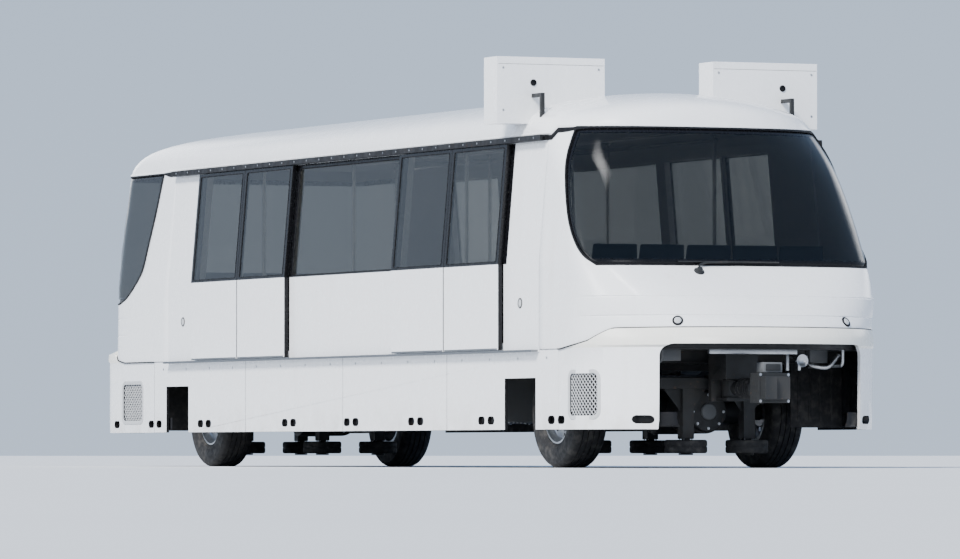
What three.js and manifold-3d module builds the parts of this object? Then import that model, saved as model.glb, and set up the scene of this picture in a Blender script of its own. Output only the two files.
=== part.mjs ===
// Automated people mover: one rubber-tyred car that follows a central guide beam.
// Millimetres. +X is the front (raked windscreen) end, +Y the left side, +Z up.
// The origin is on the running surface, under the middle of the car.

import * as THREE from 'three';
import { mergeVertices } from 'three/addons/utils/BufferGeometryUtils.js';
import Module from 'manifold-3d';

const wasm = await Module();
wasm.setup();

// Driving dimensions of the body

const SEAT_GAP = 0.3;            // space left between solids that touch
const WALL = 60;                 // thickness of walls, roof and nose panels
const GLASS = 16;                // thickness of the bonded glass
const SIDES = [['right', -1], ['left', 1]];
const ENDS = [['front', 1], ['rear', -1]];

const HALF_WIDTH = 1425;         // outer face of the side wall
const WAIST_Z = 1825;            // the wall leans inward above this height
const GUTTER_Z = 2940;
const GUTTER_HALF_WIDTH = 1330;
const LEDGE_Z = 1050;            // grey line between wall and skirt
const ROOF_SPLIT_Z = 2962;       // joint between side wall and roof
const VISOR_Z = 3025;            // the roof joint is higher over the raked windscreen
const NOSE_SPLIT_X = 4500;       // joint between side wall and nose cap
const FLOOR_TOP_Z = 1100;
const FLOOR_THICK = 60;
const SKIRT_BOTTOM_Z = 340;
const SKIRT_THICK = 30;
const SKIRT_HALF_WIDTH = 1415;
const APRON_SPLIT_X = 4900;      // joint between skirt and end apron
const APRON_THICK = 40;
const NOSE_SEGMENTS = 16;        // facets round each end of a plan outline

// Plan outline of the upper body at each height.
// Columns: z, half width, then for the front and the rear end: tip x, start of the curve x, roundness
const BODY_LEVELS = [
  [1050, 1425, [6310, 5100, 2.2], [6130, 5820, 4.0]],
  [1232, 1425, [6300, 5100, 2.2], [6120, 5810, 4.0]],
  [1330, 1425, [6195, 5110, 2.4], [6116, 5806, 4.0]],
  [1500, 1425, [6045, 5135, 2.9], [6110, 5800, 4.0]],
  [1780, 1425, [5690, 5130, 3.6], [6105, 5800, 4.0]],
  [1825, 1425, [5670, 5090, 3.6], [6105, 5800, 4.0]],
  [2200, 1393, [5520, 4930, 3.3], [6100, 5790, 4.0]],
  [2600, 1359, [5330, 4680, 3.0], [6060, 5740, 3.9]],
  [2940, 1330, [5150, 4300, 2.6], [6020, 5690, 3.7]],
  [3030, 1315, [5100, 4170, 2.5], [6000, 5650, 3.4]],
  [3140, 1262, [5050, 4000, 2.5], [5930, 5500, 3.0]],
  [3235, 1120, [4960, 3700, 2.3], [5780, 5250, 2.7]],
  [3310, 880, [4730, 3250, 2.2], [5480, 4800, 2.4]],
  [3362, 550, [4330, 2800, 2.0], [4950, 4000, 2.2]],
  [3390, 180, [3700, 2400, 2.0], [4100, 3100, 2.0]],
];

// Plan outline of the skirt level, with the same columns
const APRON_LEVELS = [
  [340, 1415, [6320, 5100, 2.2], [6345, 6080, 3.8]],
  [420, 1415, [6340, 5110, 2.2], [6355, 6090, 3.8]],
  [1055, 1415, [6350, 5110, 2.2], [6355, 6090, 3.8]],
  [1075, 1425, [6375, 5110, 2.2], [6375, 6100, 3.8]],
  [1140, 1425, [6370, 5110, 2.2], [6370, 6090, 3.8]],
  [1180, 1425, [6350, 5105, 2.2], [6130, 5820, 4.0]],
  [1250, 1425, [6300, 5100, 2.2], [6120, 5810, 4.0]],
];

// Crease between apron and nose cap, seen from the side: x, z
const CREASES = {
  front: [[4500, 1050], [4950, 1050], [5250, 1085], [5440, 1115], [5640, 1195], [5720, 1222], [6500, 1232]],
  rear: [[4500, 1050], [5720, 1052], [5900, 1080], [6020, 1160], [6080, 1186], [6500, 1190]],
};

// Windscreen outlines seen from the side: x, z
const WINDSCREENS = {
  front: [[7000, 1780], [5500, 1780], [5440, 1815], [5280, 1930], [5060, 2190],
    [4890, 2600], [4770, 2930], [4725, VISOR_Z], [7000, VISOR_Z]],
  rear: [[7000, 1650], [5850, 1655], [5765, 1672], [5560, 1757], [5385, 1857], [5235, 1985],
    [5110, 2262], [4990, 2541], [4895, 2803], [4840, ROOF_SPLIT_Z], [7000, ROOF_SPLIT_Z]],
};

// Doors: two leaves at each doorway, outside the wall
const DOOR_X = 2520;             // middle of each doorway
const LEAF_WIDTH = 1220;
const LEAF_THICK = 42;
const LEAF_PROUD = 56;           // outer face of a leaf beyond the wall
const LEAF_BOTTOM_Z = 1056;
const LEAF_TOP_Z = 2905;
const LEAF_MARGIN = 3;           // half of the gap between two closed leaves
const DOORWAY_HALF = 1100;
const DOORWAY_TOP_Z = 2880;
const PANE_Z = [1850, 2875];
const PANE_FRAME = 55;
const TRACK_Z = [2912, ROOF_SPLIT_Z];
const TRACK_HALF_LENGTH = 4480;
const TRACK_OUTER_Y = 1402;
const TRACK_GROOVE_Z = 2945;
const TONGUE_Y = [1359, 1371];    // the tongue on top of a leaf runs in the groove of the track
const TONGUE_LENGTH = 600;
const LEDGE_OUTER_Y = 1488;

// Fixed side window
const WINDOW_HALF_LENGTH = 1235;
const WINDOW_Z = [1840, 2870];

// Skirt openings
const WHEEL_SLOT_X = { front: [3740, 4410], rear: [3970, 4570] };
const WHEEL_SLOT_TOP_Z = 800;
const BAY_HALF_WIDTH = 980;      // coupler bay in the apron
const BAY_TOP_Z = 1085;
const GRILLE_X = { front: [5140, 5560], rear: [5240, 5770] };
const GRILLE_Z = [460, 830];
const GRILLE_SLATS = 7;
const DRAIN_Z = 425;             // oval holes along the bottom of the skirt
const DRAIN_SIZE = [150, 74];
const DRAIN_SPACING = 210;       // between the two holes of a pair
const DRAIN_PAIRS_X = [-4880, -3540, -1340, 200, 1730, 3330, 4850];
const DRAIN_ENDS_X = [-5950, 5950];

// Round lamps on the nose caps, low in the mask: each end's low and high x
const LAMP_X = { front: [6040, 6112], rear: [6070, 6128] };
const LAMP_Y = 820;
const LAMP_Z = 1285;
const LAMP_RADIUS = 42;

// Running gear
const BOGIE_X = 4170;
const TYRE_RADIUS = 500;
const TYRE_WIDTH = 330;
const RIM_RADIUS = 285;
const WHEEL_Y = 970;
const STUB_RADIUS = 70;
const PIN_CLEARANCE = 1.0;       // on the radius, so that facets clear at every angle
const AXLE_Z = TYRE_RADIUS;
const GUIDE_X = 1000;            // guide wheels, from the middle of the bogie
const GUIDE_Y = 300;
const GUIDE_RADIUS = 190;
const GUIDE_Z = [130, 250];
const GUIDE_PIN_RADIUS = 40;
const TURNTABLE_Z = 980;
const TURNTABLE_RADIUS = 300;
const KINGPIN_RADIUS = 60;

// Couplers
const COUPLER_PIVOT_X = 5500;
const COUPLER_Z = 700;
const COUPLER_FACE_X = 6425;
const COUPLER_PIN_RADIUS = 40;

const FINISHES = {
  white: new THREE.MeshStandardMaterial({ color: 0xe9ebec, roughness: 0.25, metalness: 0 }),
  cream: new THREE.MeshStandardMaterial({ color: 0xdedcd2, roughness: 0.35, metalness: 0 }),
  glass: new THREE.MeshStandardMaterial({ color: 0x20282b, roughness: 0.05, metalness: 0 }),
  rubber: new THREE.MeshStandardMaterial({ color: 0x151515, roughness: 0.85, metalness: 0 }),
  chassis: new THREE.MeshStandardMaterial({ color: 0x2a2c2e, roughness: 0.6, metalness: 0.5 }),
  alloy: new THREE.MeshStandardMaterial({ color: 0x9a9ea1, roughness: 0.4, metalness: 0.9 }),
  seat: new THREE.MeshStandardMaterial({ color: 0x3f5468, roughness: 0.7, metalness: 0 }),
};

// Closed solids

function solidOf(geometry) {
  const bare = geometry.clone();
  bare.deleteAttribute('normal');
  bare.deleteAttribute('uv');
  const merged = mergeVertices(bare, 1e-4);
  return new wasm.Manifold(new wasm.Mesh({
    numProp: 3,
    vertProperties: new Float32Array(merged.attributes.position.array),
    triVerts: new Uint32Array(merged.index.array),
  }));
}

function geometryOf(solid) {
  const mesh = solid.getMesh();
  const geometry = new THREE.BufferGeometry();
  geometry.setAttribute('position', new THREE.BufferAttribute(mesh.vertProperties, 3));
  geometry.setIndex(new THREE.BufferAttribute(mesh.triVerts, 1));
  geometry.computeVertexNormals();
  return geometry;
}

// A block between two corners, each range given as [low, high]
function block([x0, x1], [y0, y1], [z0, z1]) {
  const box = new THREE.BoxGeometry(x1 - x0, y1 - y0, z1 - z0);
  return solidOf(box.translate((x0 + x1) / 2, (y0 + y1) / 2, (z0 + z1) / 2));
}

// A polygon swept along an axis: its points are (y, z) for x, (x, z) for y and (x, y) for z
function prism(axis, points, from, to) {
  const shape = new THREE.Shape(points.map(([a, b]) => new THREE.Vector2(a, b)));
  const body = new THREE.ExtrudeGeometry(shape, { depth: to - from, bevelEnabled: false });
  if (axis === 'x') {
    body.rotateX(Math.PI / 2).rotateZ(Math.PI / 2).translate(from, 0, 0);
  } else if (axis === 'y') {
    body.rotateX(Math.PI / 2).translate(0, to, 0);
  } else {
    body.translate(0, 0, from);
  }
  return solidOf(body);
}

// A round bar along an axis, from one end to the other
function bar(axis, radius, [x, y, z], from, to, segments = 16) {
  const cylinder = new THREE.CylinderGeometry(radius, radius, to - from, segments);
  const middle = (from + to) / 2;
  if (axis === 'x') {
    cylinder.rotateZ(Math.PI / 2).translate(middle, y, z);
  } else if (axis === 'y') {
    cylinder.translate(x, middle, z);
  } else {
    cylinder.rotateX(Math.PI / 2).translate(x, y, middle);
  }
  return solidOf(cylinder);
}

function joined(solids) {
  return solids.reduce((sum, solid) => sum.add(solid));
}

// One end of a plan outline: a superellipse from y = -half to y = +half
function endCurve(half, [tip, start, roundness], inset, direction) {
  const points = [];
  for (let i = 0; i <= NOSE_SEGMENTS; i += 1) {
    const angle = (i / NOSE_SEGMENTS - 0.5) * Math.PI;
    const power = 2 / roundness;
    const across = Math.sign(angle) * Math.abs(Math.sin(angle)) ** power * (half - inset);
    const along = start + (tip - inset - start) * Math.max(0, Math.cos(angle)) ** power;
    points.push([direction * along, direction * across]);
  }
  return points;
}

// A solid through plan outlines stacked from the bottom up
function stack(levels, inset, heightOf) {
  const positions = [];
  const rings = levels.map(([z, half, front, rear]) => [
    ...endCurve(half, front, inset, 1),
    ...endCurve(half, rear, inset, -1),
  ].map(([x, y]) => [x, y, heightOf(z)]));
  const count = rings[0].length;
  const face = (a, b, c) => positions.push(...a, ...b, ...c);
  for (let level = 0; level + 1 < rings.length; level += 1) {
    for (let i = 0; i < count; i += 1) {
      const next = (i + 1) % count;
      face(rings[level][i], rings[level][next], rings[level + 1][next]);
      face(rings[level][i], rings[level + 1][next], rings[level + 1][i]);
    }
  }
  const top = rings[rings.length - 1];
  for (let i = 1; i + 1 < count; i += 1) {
    face(rings[0][0], rings[0][i + 1], rings[0][i]);
    face(top[0], top[i], top[i + 1]);
  }
  const geometry = new THREE.BufferGeometry();
  geometry.setAttribute('position', new THREE.Float32BufferAttribute(positions, 3));
  return solidOf(geometry);
}

// The upper body as a solid, drawn in by an inset that also lowers the roof
const ROOF_TOP_Z = BODY_LEVELS[BODY_LEVELS.length - 1][0];

function bodyHull(inset, bottom = LEDGE_Z) {
  const rise = (ROOF_TOP_Z - inset - GUTTER_Z) / (ROOF_TOP_Z - GUTTER_Z);
  const heightOf = (z) => {
    if (z > GUTTER_Z) return GUTTER_Z + (z - GUTTER_Z) * rise;
    return z === LEDGE_Z ? bottom : z;
  };
  return stack(BODY_LEVELS, inset, heightOf);
}

// A side-view outline drawn in by a distance, for a piece that fits its opening
function drawnIn(points, distance) {
  const signedArea = THREE.ShapeUtils.area(points.map(([a, b]) => new THREE.Vector2(a, b)));
  const turn = Math.sign(signedArea) * distance;
  const edges = points.map(([ax, az], i) => {
    const [bx, bz] = points[(i + 1) % points.length];
    const length = Math.hypot(bx - ax, bz - az);
    const normal = [-(bz - az) / length, (bx - ax) / length];
    return { at: [ax + normal[0] * turn, az + normal[1] * turn], along: [bx - ax, bz - az] };
  });
  return edges.map((edge, i) => {
    const before = edges[(i + edges.length - 1) % edges.length];
    const cross = before.along[0] * edge.along[1] - before.along[1] * edge.along[0];
    const gap = [edge.at[0] - before.at[0], edge.at[1] - before.at[1]];
    const share = (gap[0] * edge.along[1] - gap[1] * edge.along[0]) / cross;
    return [before.at[0] + before.along[0] * share, before.at[1] + before.along[1] * share];
  });
}

function facing(direction, points) {
  return points.map(([x, z]) => [direction * x, z]);
}

const ALL_Y = [-2000, 2000];
const FAR = 7000;

function windscreenVolume(name, direction, inset) {
  return prism('y', facing(direction, drawnIn(WINDSCREENS[name], inset)), ...ALL_Y);
}

// Everything above the crease that separates a nose cap from its apron
function aboveCrease(name, direction, lift) {
  const outline = [...CREASES[name].map(([x, z]) => [x, z + lift]), [6500, 4000], [4500, 4000]];
  return prism('y', facing(direction, outline), ...ALL_Y);
}

// Everything above the joint under the roof
function aboveRoofJoint(lift) {
  return prism('y', [[-FAR, ROOF_SPLIT_Z + lift], [NOSE_SPLIT_X, ROOF_SPLIT_Z + lift],
    [NOSE_SPLIT_X + 60, VISOR_Z + lift], [FAR, VISOR_Z + lift], [FAR, 4000], [-FAR, 4000]], ...ALL_Y);
}

// Half width of the wall's outer face at a height
function wallY(z) {
  const lean = (HALF_WIDTH - GUTTER_HALF_WIDTH) / (GUTTER_Z - WAIST_Z);
  return HALF_WIDTH - Math.max(0, z - WAIST_Z) * lean;
}

// A strip that follows the wall's kinked profile: offsets are measured outward from the wall
function wallStrip(side, outer, inner, [z0, z1], [x0, x1]) {
  const heights = z0 < WAIST_Z && z1 > WAIST_Z ? [z0, WAIST_Z, z1] : [z0, z1];
  const outside = heights.map((z) => [side * (wallY(z) + outer), z]);
  const inside = heights.map((z) => [side * (wallY(z) + inner), z]).reverse();
  return prism('x', [...outside, ...inside], x0, x1);
}

const car = new THREE.Group();

function place(name, solid, finish, parent = car) {
  const mesh = new THREE.Mesh(geometryOf(solid), FINISHES[finish]);
  mesh.name = name;
  parent.add(mesh);
  return mesh;
}

// Body shell, cut into the panels that the real car is joined from

const shell = bodyHull(0).subtract(bodyHull(WALL, LEDGE_Z - 10));
const glassShell = bodyHull(4).subtract(bodyHull(4 + GLASS, LEDGE_Z - 10));

function betweenX(x0, x1) {
  return block([x0, x1], ALL_Y, [0, 4000]);
}

function doorway(x) {
  return block([x - DOORWAY_HALF, x + DOORWAY_HALF], ALL_Y, [FLOOR_TOP_Z, DOORWAY_TOP_Z]);
}

for (const [name, side] of SIDES) {
  const half = side < 0 ? [-2000, 0] : [0, 2000];
  const zone = block([-NOSE_SPLIT_X, NOSE_SPLIT_X], half, [LEDGE_Z, ROOF_SPLIT_Z]);
  const windowHole = block([-WINDOW_HALF_LENGTH, WINDOW_HALF_LENGTH], ALL_Y, WINDOW_Z);
  const track = wallStrip(side, TRACK_OUTER_Y - GUTTER_HALF_WIDTH, -5, TRACK_Z,
    [-TRACK_HALF_LENGTH, TRACK_HALF_LENGTH]);
  const groove = block([-FAR, FAR], side < 0 ? [-1378, -1352] : [1352, 1378], [2900, TRACK_GROOVE_Z]);
  const ledgeY = side < 0 ? [-LEDGE_OUTER_Y, -HALF_WIDTH + 5] : [HALF_WIDTH - 5, LEDGE_OUTER_Y];
  const ledge = block([-TRACK_HALF_LENGTH, TRACK_HALF_LENGTH], ledgeY, [LEDGE_Z - 20, LEDGE_Z]);
  const lip = block([-NOSE_SPLIT_X, NOSE_SPLIT_X],
    side < 0 ? [-HALF_WIDTH, -SKIRT_HALF_WIDTH - 1] : [SKIRT_HALF_WIDTH + 1, HALF_WIDTH],
    [LEDGE_Z - 20, LEDGE_Z + 5]);
  const wall = shell.intersect(zone)
    .subtract(windowHole)
    .subtract(doorway(DOOR_X))
    .subtract(doorway(-DOOR_X));
  const fittings = joined([track.subtract(groove), ledge, lip]).intersect(
    betweenX(-NOSE_SPLIT_X, NOSE_SPLIT_X));
  place(`side_wall_${name}`, wall.add(fittings), 'white');

  const pane = block([-WINDOW_HALF_LENGTH + SEAT_GAP, WINDOW_HALF_LENGTH - SEAT_GAP], half,
    [WINDOW_Z[0] + SEAT_GAP, WINDOW_Z[1] - SEAT_GAP]);
  place(`side_window_${name}`, glassShell.intersect(pane), 'glass');
}

for (const [name, direction] of ENDS) {
  const zone = direction > 0
    ? block([NOSE_SPLIT_X + SEAT_GAP, FAR], ALL_Y, [LEDGE_Z, 4000])
    : block([-FAR, -NOSE_SPLIT_X - SEAT_GAP], ALL_Y, [LEDGE_Z, 4000]);
  const cap = shell.intersect(zone)
    .intersect(aboveCrease(name, direction, SEAT_GAP))
    .subtract(windscreenVolume(name, direction, 0))
    .subtract(aboveRoofJoint(0));
  const lamps = SIDES.map(([, side]) => {
    const [low, high] = LAMP_X[name].map((value) => direction * value).sort((a, b) => a - b);
    return bar('x', LAMP_RADIUS, [0, side * LAMP_Y, LAMP_Z], low, high, 20);
  });
  place(`${name}_nose_cap`, joined([cap, ...lamps]), 'white');
  place(`${name}_windscreen`, glassShell.intersect(windscreenVolume(name, direction, SEAT_GAP)), 'glass');
}

const roof = shell.intersect(aboveRoofJoint(SEAT_GAP))
  .subtract(windscreenVolume('front', 1, 0))
  .subtract(windscreenVolume('rear', -1, 0));
place('roof_shell', roof, 'white');

// Skirts and end aprons

// A hole with round ends through both sides of the car
function drainHole(x) {
  const [length, height] = DRAIN_SIZE;
  const radius = height / 2;
  const outline = [];
  for (const end of [-1, 1]) {
    for (let i = 0; i <= 4; i += 1) {
      const angle = (i / 4 - 0.5) * Math.PI;
      outline.push([x + end * (length / 2 - radius + radius * Math.cos(angle)),
        DRAIN_Z + end * radius * Math.sin(angle)]);
    }
  }
  return prism('y', outline, ...ALL_Y);
}

const drains = joined([
  ...DRAIN_PAIRS_X.flatMap((x) => [x - DRAIN_SPACING / 2, x + DRAIN_SPACING / 2]),
  ...DRAIN_ENDS_X,
].map(drainHole));

for (const [name, side] of SIDES) {
  const y = side < 0 ? [-SKIRT_HALF_WIDTH, -SKIRT_HALF_WIDTH + SKIRT_THICK]
    : [SKIRT_HALF_WIDTH - SKIRT_THICK, SKIRT_HALF_WIDTH];
  let skirt = block([-APRON_SPLIT_X, APRON_SPLIT_X], y, [SKIRT_BOTTOM_Z, LEDGE_Z - SEAT_GAP]);
  for (const [end, direction] of ENDS) {
    const slotX = WHEEL_SLOT_X[end].map((value) => direction * value).sort((a, b) => a - b);
    skirt = skirt.subtract(block(slotX, ALL_Y, [0, WHEEL_SLOT_TOP_Z]));
  }
  place(`skirt_${name}`, skirt.subtract(drains), 'white');
}

const apronShell = stack(APRON_LEVELS, 0, (z) => z)
  .subtract(stack(APRON_LEVELS, APRON_THICK, (z) => (z === SKIRT_BOTTOM_Z ? z - 10 : z + 1)));

for (const [name, direction] of ENDS) {
  const x = [APRON_SPLIT_X + SEAT_GAP, FAR].map((value) => direction * value).sort((a, b) => a - b);
  let apron = apronShell.intersect(block(x, ALL_Y, [0, 2000]))
    .subtract(aboveCrease(name, direction, 0))
    .subtract(block([-FAR, FAR], [-BAY_HALF_WIDTH, BAY_HALF_WIDTH], [0, BAY_TOP_Z]));
  const pitch = (GRILLE_Z[1] - GRILLE_Z[0]) / GRILLE_SLATS;
  const grilleX = GRILLE_X[name].map((value) => direction * value).sort((a, b) => a - b);
  for (let slat = 0; slat < GRILLE_SLATS; slat += 1) {
    const bottom = GRILLE_Z[0] + slat * pitch;
    apron = apron.subtract(block(grilleX, ALL_Y, [bottom, bottom + pitch * 0.6]));
  }
  place(`${name}_apron`, apron.subtract(drains), 'cream');
}

// Underframe: floor, sills, coupler brackets and the turntables above the bogies

const [, floorHalf, floorFront, floorRear] = BODY_LEVELS[1];
const floorOutline = [
  ...endCurve(floorHalf, floorFront, WALL + SEAT_GAP, 1),
  ...endCurve(floorHalf, floorRear, WALL + SEAT_GAP, -1),
];
const underframeParts = [prism('z', floorOutline, FLOOR_TOP_Z - FLOOR_THICK, FLOOR_TOP_Z)];
for (const [, side] of SIDES) {
  const y = [1280, 1360].map((value) => side * value).sort((a, b) => a - b);
  underframeParts.push(block([-4880, 4880], y, [900, 1050]));
}
for (const [, direction] of ENDS) {
  const ordered = (a, b) => (direction > 0 ? [a, b] : [-b, -a]);
  const pivot = [direction * COUPLER_PIVOT_X, 0, 0];
  underframeParts.push(
    bar('z', TURNTABLE_RADIUS, [direction * BOGIE_X, 0, 0], TURNTABLE_Z, FLOOR_TOP_Z - 50, 24),
    bar('z', KINGPIN_RADIUS, [direction * BOGIE_X, 0, 0], TURNTABLE_Z - 60, FLOOR_TOP_Z - 50),
    block(ordered(COUPLER_PIVOT_X - 100, COUPLER_PIVOT_X + 190), [-160, 160],
      [COUPLER_Z + 80, FLOOR_TOP_Z - 50]),
    block(ordered(COUPLER_PIVOT_X - 160, COUPLER_PIVOT_X - 100), [-160, 160],
      [COUPLER_Z - 110, FLOOR_TOP_Z - 50]),
    block(ordered(COUPLER_PIVOT_X - 160, COUPLER_PIVOT_X + 110), [-110, 110],
      [COUPLER_Z - 110, COUPLER_Z - 80]),
    bar('z', COUPLER_PIN_RADIUS - PIN_CLEARANCE, pivot, COUPLER_Z - 100, COUPLER_Z + 100),
  );
}
place('underframe', joined(underframeParts), 'chassis');

// Underfloor equipment boxes: name, low x, high x
for (const [name, x0, x1] of [['traction_box', -2750, -250], ['auxiliary_box', 250, 2750]]) {
  place(name, block([x0, x1], [-1150, 1150], [430, FLOOR_TOP_Z - FLOOR_THICK - SEAT_GAP]), 'chassis');
}

// Roof boxes, one on each shoulder, each with an angled bracket
const ROOF_BOX_X = [3700, 3990];
const ROOF_BOX_Z = [3080, 3680];
const BRACKET_X = 4180;
const BRACKET_Y = 1245;
const roofClearance = bodyHull(-SEAT_GAP);
for (const [name, side] of SIDES) {
  const across = (a, b) => (side < 0 ? [-b, -a] : [a, b]);
  const box = block(ROOF_BOX_X, across(540, 1600), ROOF_BOX_Z);
  const bracket = joined([
    block([ROOF_BOX_X[1] - 5, BRACKET_X + 18], across(BRACKET_Y - 18, BRACKET_Y + 18), [3315, 3350]),
    block([BRACKET_X - 18, BRACKET_X + 18], across(BRACKET_Y - 18, BRACKET_Y + 18), [3130, 3350]),
  ]);
  place(`roof_box_${name}`, box.add(bracket).subtract(roofClearance), 'white');
}

// Interior: a bench at each end, and stanchions joined by overhead rails
for (const [name, front, back] of [['front', 4560, 5060], ['rear', -5000, -5500]]) {
  const along = (a, b) => (a < b ? [a, b] : [b, a]);
  const toBack = Math.sign(back - front);
  const bench = joined([
    block(along(front + toBack * 60, back), [-1000, 1000], [FLOOR_TOP_Z + SEAT_GAP, 1460]),
    block(along(front, back), [-1150, 1150], [1450, 1550]),
    block(along(back - toBack * 90, back), [-1150, 1150], [1450, 1980]),
  ]);
  place(`bench_${name}`, bench, 'seat');
}

const RAIL_RADIUS = 18;
const RAIL_Y = 720;
const RAIL_Z = 2980;
const POLE_X = [-3650, -1350, 1350, 3650];
const rails = [];
for (const [, side] of SIDES) {
  rails.push(bar('x', RAIL_RADIUS, [0, side * RAIL_Y, RAIL_Z], POLE_X[0] - 30, POLE_X[3] + 30, 8));
  for (const x of POLE_X) {
    rails.push(bar('z', RAIL_RADIUS, [x, side * RAIL_Y, 0], FLOOR_TOP_Z + SEAT_GAP, RAIL_Z + 10, 8));
  }
}
for (const x of [POLE_X[1], POLE_X[2]]) {
  rails.push(bar('y', RAIL_RADIUS, [x, 0, RAIL_Z], -RAIL_Y, RAIL_Y, 8));
}
place('handrails', joined(rails), 'alloy');

// Door leaves with their panes: each doorway has an inner leaf, nearer the middle, and an outer one
for (const [sideName, side] of SIDES) {
  for (const [endName, direction] of ENDS) {
    for (const [leafName, from, to] of [['inner', DOOR_X - LEAF_WIDTH, DOOR_X - LEAF_MARGIN],
      ['outer', DOOR_X + LEAF_MARGIN, DOOR_X + LEAF_WIDTH]]) {
      const along = (a, b) => (direction > 0 ? [a, b] : [-b, -a]);
      const range = along(from, to);
      const paneX = [range[0] + PANE_FRAME, range[1] - PANE_FRAME];
      const tongueY = side < 0 ? [-TONGUE_Y[1], -TONGUE_Y[0]] : TONGUE_Y;
      const tongue = block(along(from + 100, from + 100 + TONGUE_LENGTH), tongueY,
        [LEAF_TOP_Z - 5, TRACK_GROOVE_Z - 0.5]);
      const leaf = wallStrip(side, LEAF_PROUD, LEAF_PROUD - LEAF_THICK, [LEAF_BOTTOM_Z, LEAF_TOP_Z], range)
        .subtract(block(paneX, ALL_Y, PANE_Z))
        .add(tongue);
      const pane = wallStrip(side, LEAF_PROUD - 3, LEAF_PROUD - 3 - GLASS,
        [PANE_Z[0] + SEAT_GAP, PANE_Z[1] - SEAT_GAP], [paneX[0] + SEAT_GAP, paneX[1] - SEAT_GAP]);
      const name = `door_${endName}_${sideName}_${leafName}`;
      place(`${name}_leaf`, leaf, 'white');
      place(`${name}_pane`, pane, 'glass');
    }
  }
}

// Couplers: an eye on the bracket's pin, a draw bar and a head
for (const [name, direction] of ENDS) {
  const ordered = (a, b) => (direction > 0 ? [a, b] : [-b, -a]);
  const pivot = [direction * COUPLER_PIVOT_X, 0, 0];
  const coupler = joined([
    bar('z', 95, pivot, COUPLER_Z - 79.5, COUPLER_Z + 75),
    bar('x', 60, [0, 0, COUPLER_Z], ...ordered(COUPLER_PIVOT_X + 60, 6200)),
    block(ordered(6150, 6330), [-150, 150], [COUPLER_Z - 130, COUPLER_Z + 130]),
    block(ordered(6325, COUPLER_FACE_X), [-130, -20], [COUPLER_Z - 100, COUPLER_Z + 100]),
    block(ordered(6325, COUPLER_FACE_X - 45), [-30, 130], [COUPLER_Z - 100, COUPLER_Z + 100]),
  ]).subtract(bar('z', COUPLER_PIN_RADIUS, pivot, COUPLER_Z - 200, COUPLER_Z + 200));
  place(`${name}_coupler`, coupler, 'chassis');
}

// Lathe solid about the Z axis: profile points are radius, height
function turned(profile, segments) {
  const points = [...profile, profile[0]].map(([radius, height]) => new THREE.Vector2(radius, height));
  const lathe = new THREE.LatheGeometry(points, segments).rotateX(Math.PI / 2);
  const solid = solidOf(lathe);
  return solid.volume() > 0 ? solid : solidOf(lathe.clone().scale(1, 1, -1));
}

const WHEEL_SEGMENTS = 28;
const half = TYRE_WIDTH / 2;
const tyreSolid = turned([
  [RIM_RADIUS, -half + 45], [RIM_RADIUS + 30, -half + 12], [RIM_RADIUS + 110, -half],
  [TYRE_RADIUS - 40, -half + 8], [TYRE_RADIUS, -half + 50],
  [TYRE_RADIUS, half - 50], [TYRE_RADIUS - 40, half - 8], [RIM_RADIUS + 110, half],
  [RIM_RADIUS + 30, half - 12], [RIM_RADIUS, half - 45],
], WHEEL_SEGMENTS);
const rimSolid = turned([
  [STUB_RADIUS, -60], [130, -60], [150, 20], [RIM_RADIUS - 40, 30], [RIM_RADIUS - 40, -half + 42],
  [RIM_RADIUS - SEAT_GAP, -half + 42], [RIM_RADIUS - SEAT_GAP, half - 42], [RIM_RADIUS - 30, half - 42],
  [RIM_RADIUS - 40, 50], [150, 50], [125, 100], [STUB_RADIUS, 100],
], WHEEL_SEGMENTS);
const guideSolid = turned([
  [GUIDE_PIN_RADIUS, GUIDE_Z[0]], [GUIDE_RADIUS - 12, GUIDE_Z[0]], [GUIDE_RADIUS, GUIDE_Z[0] + 12],
  [GUIDE_RADIUS, GUIDE_Z[1] - 12], [GUIDE_RADIUS - 12, GUIDE_Z[1]], [GUIDE_PIN_RADIUS, GUIDE_Z[1]],
], 16);

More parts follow.
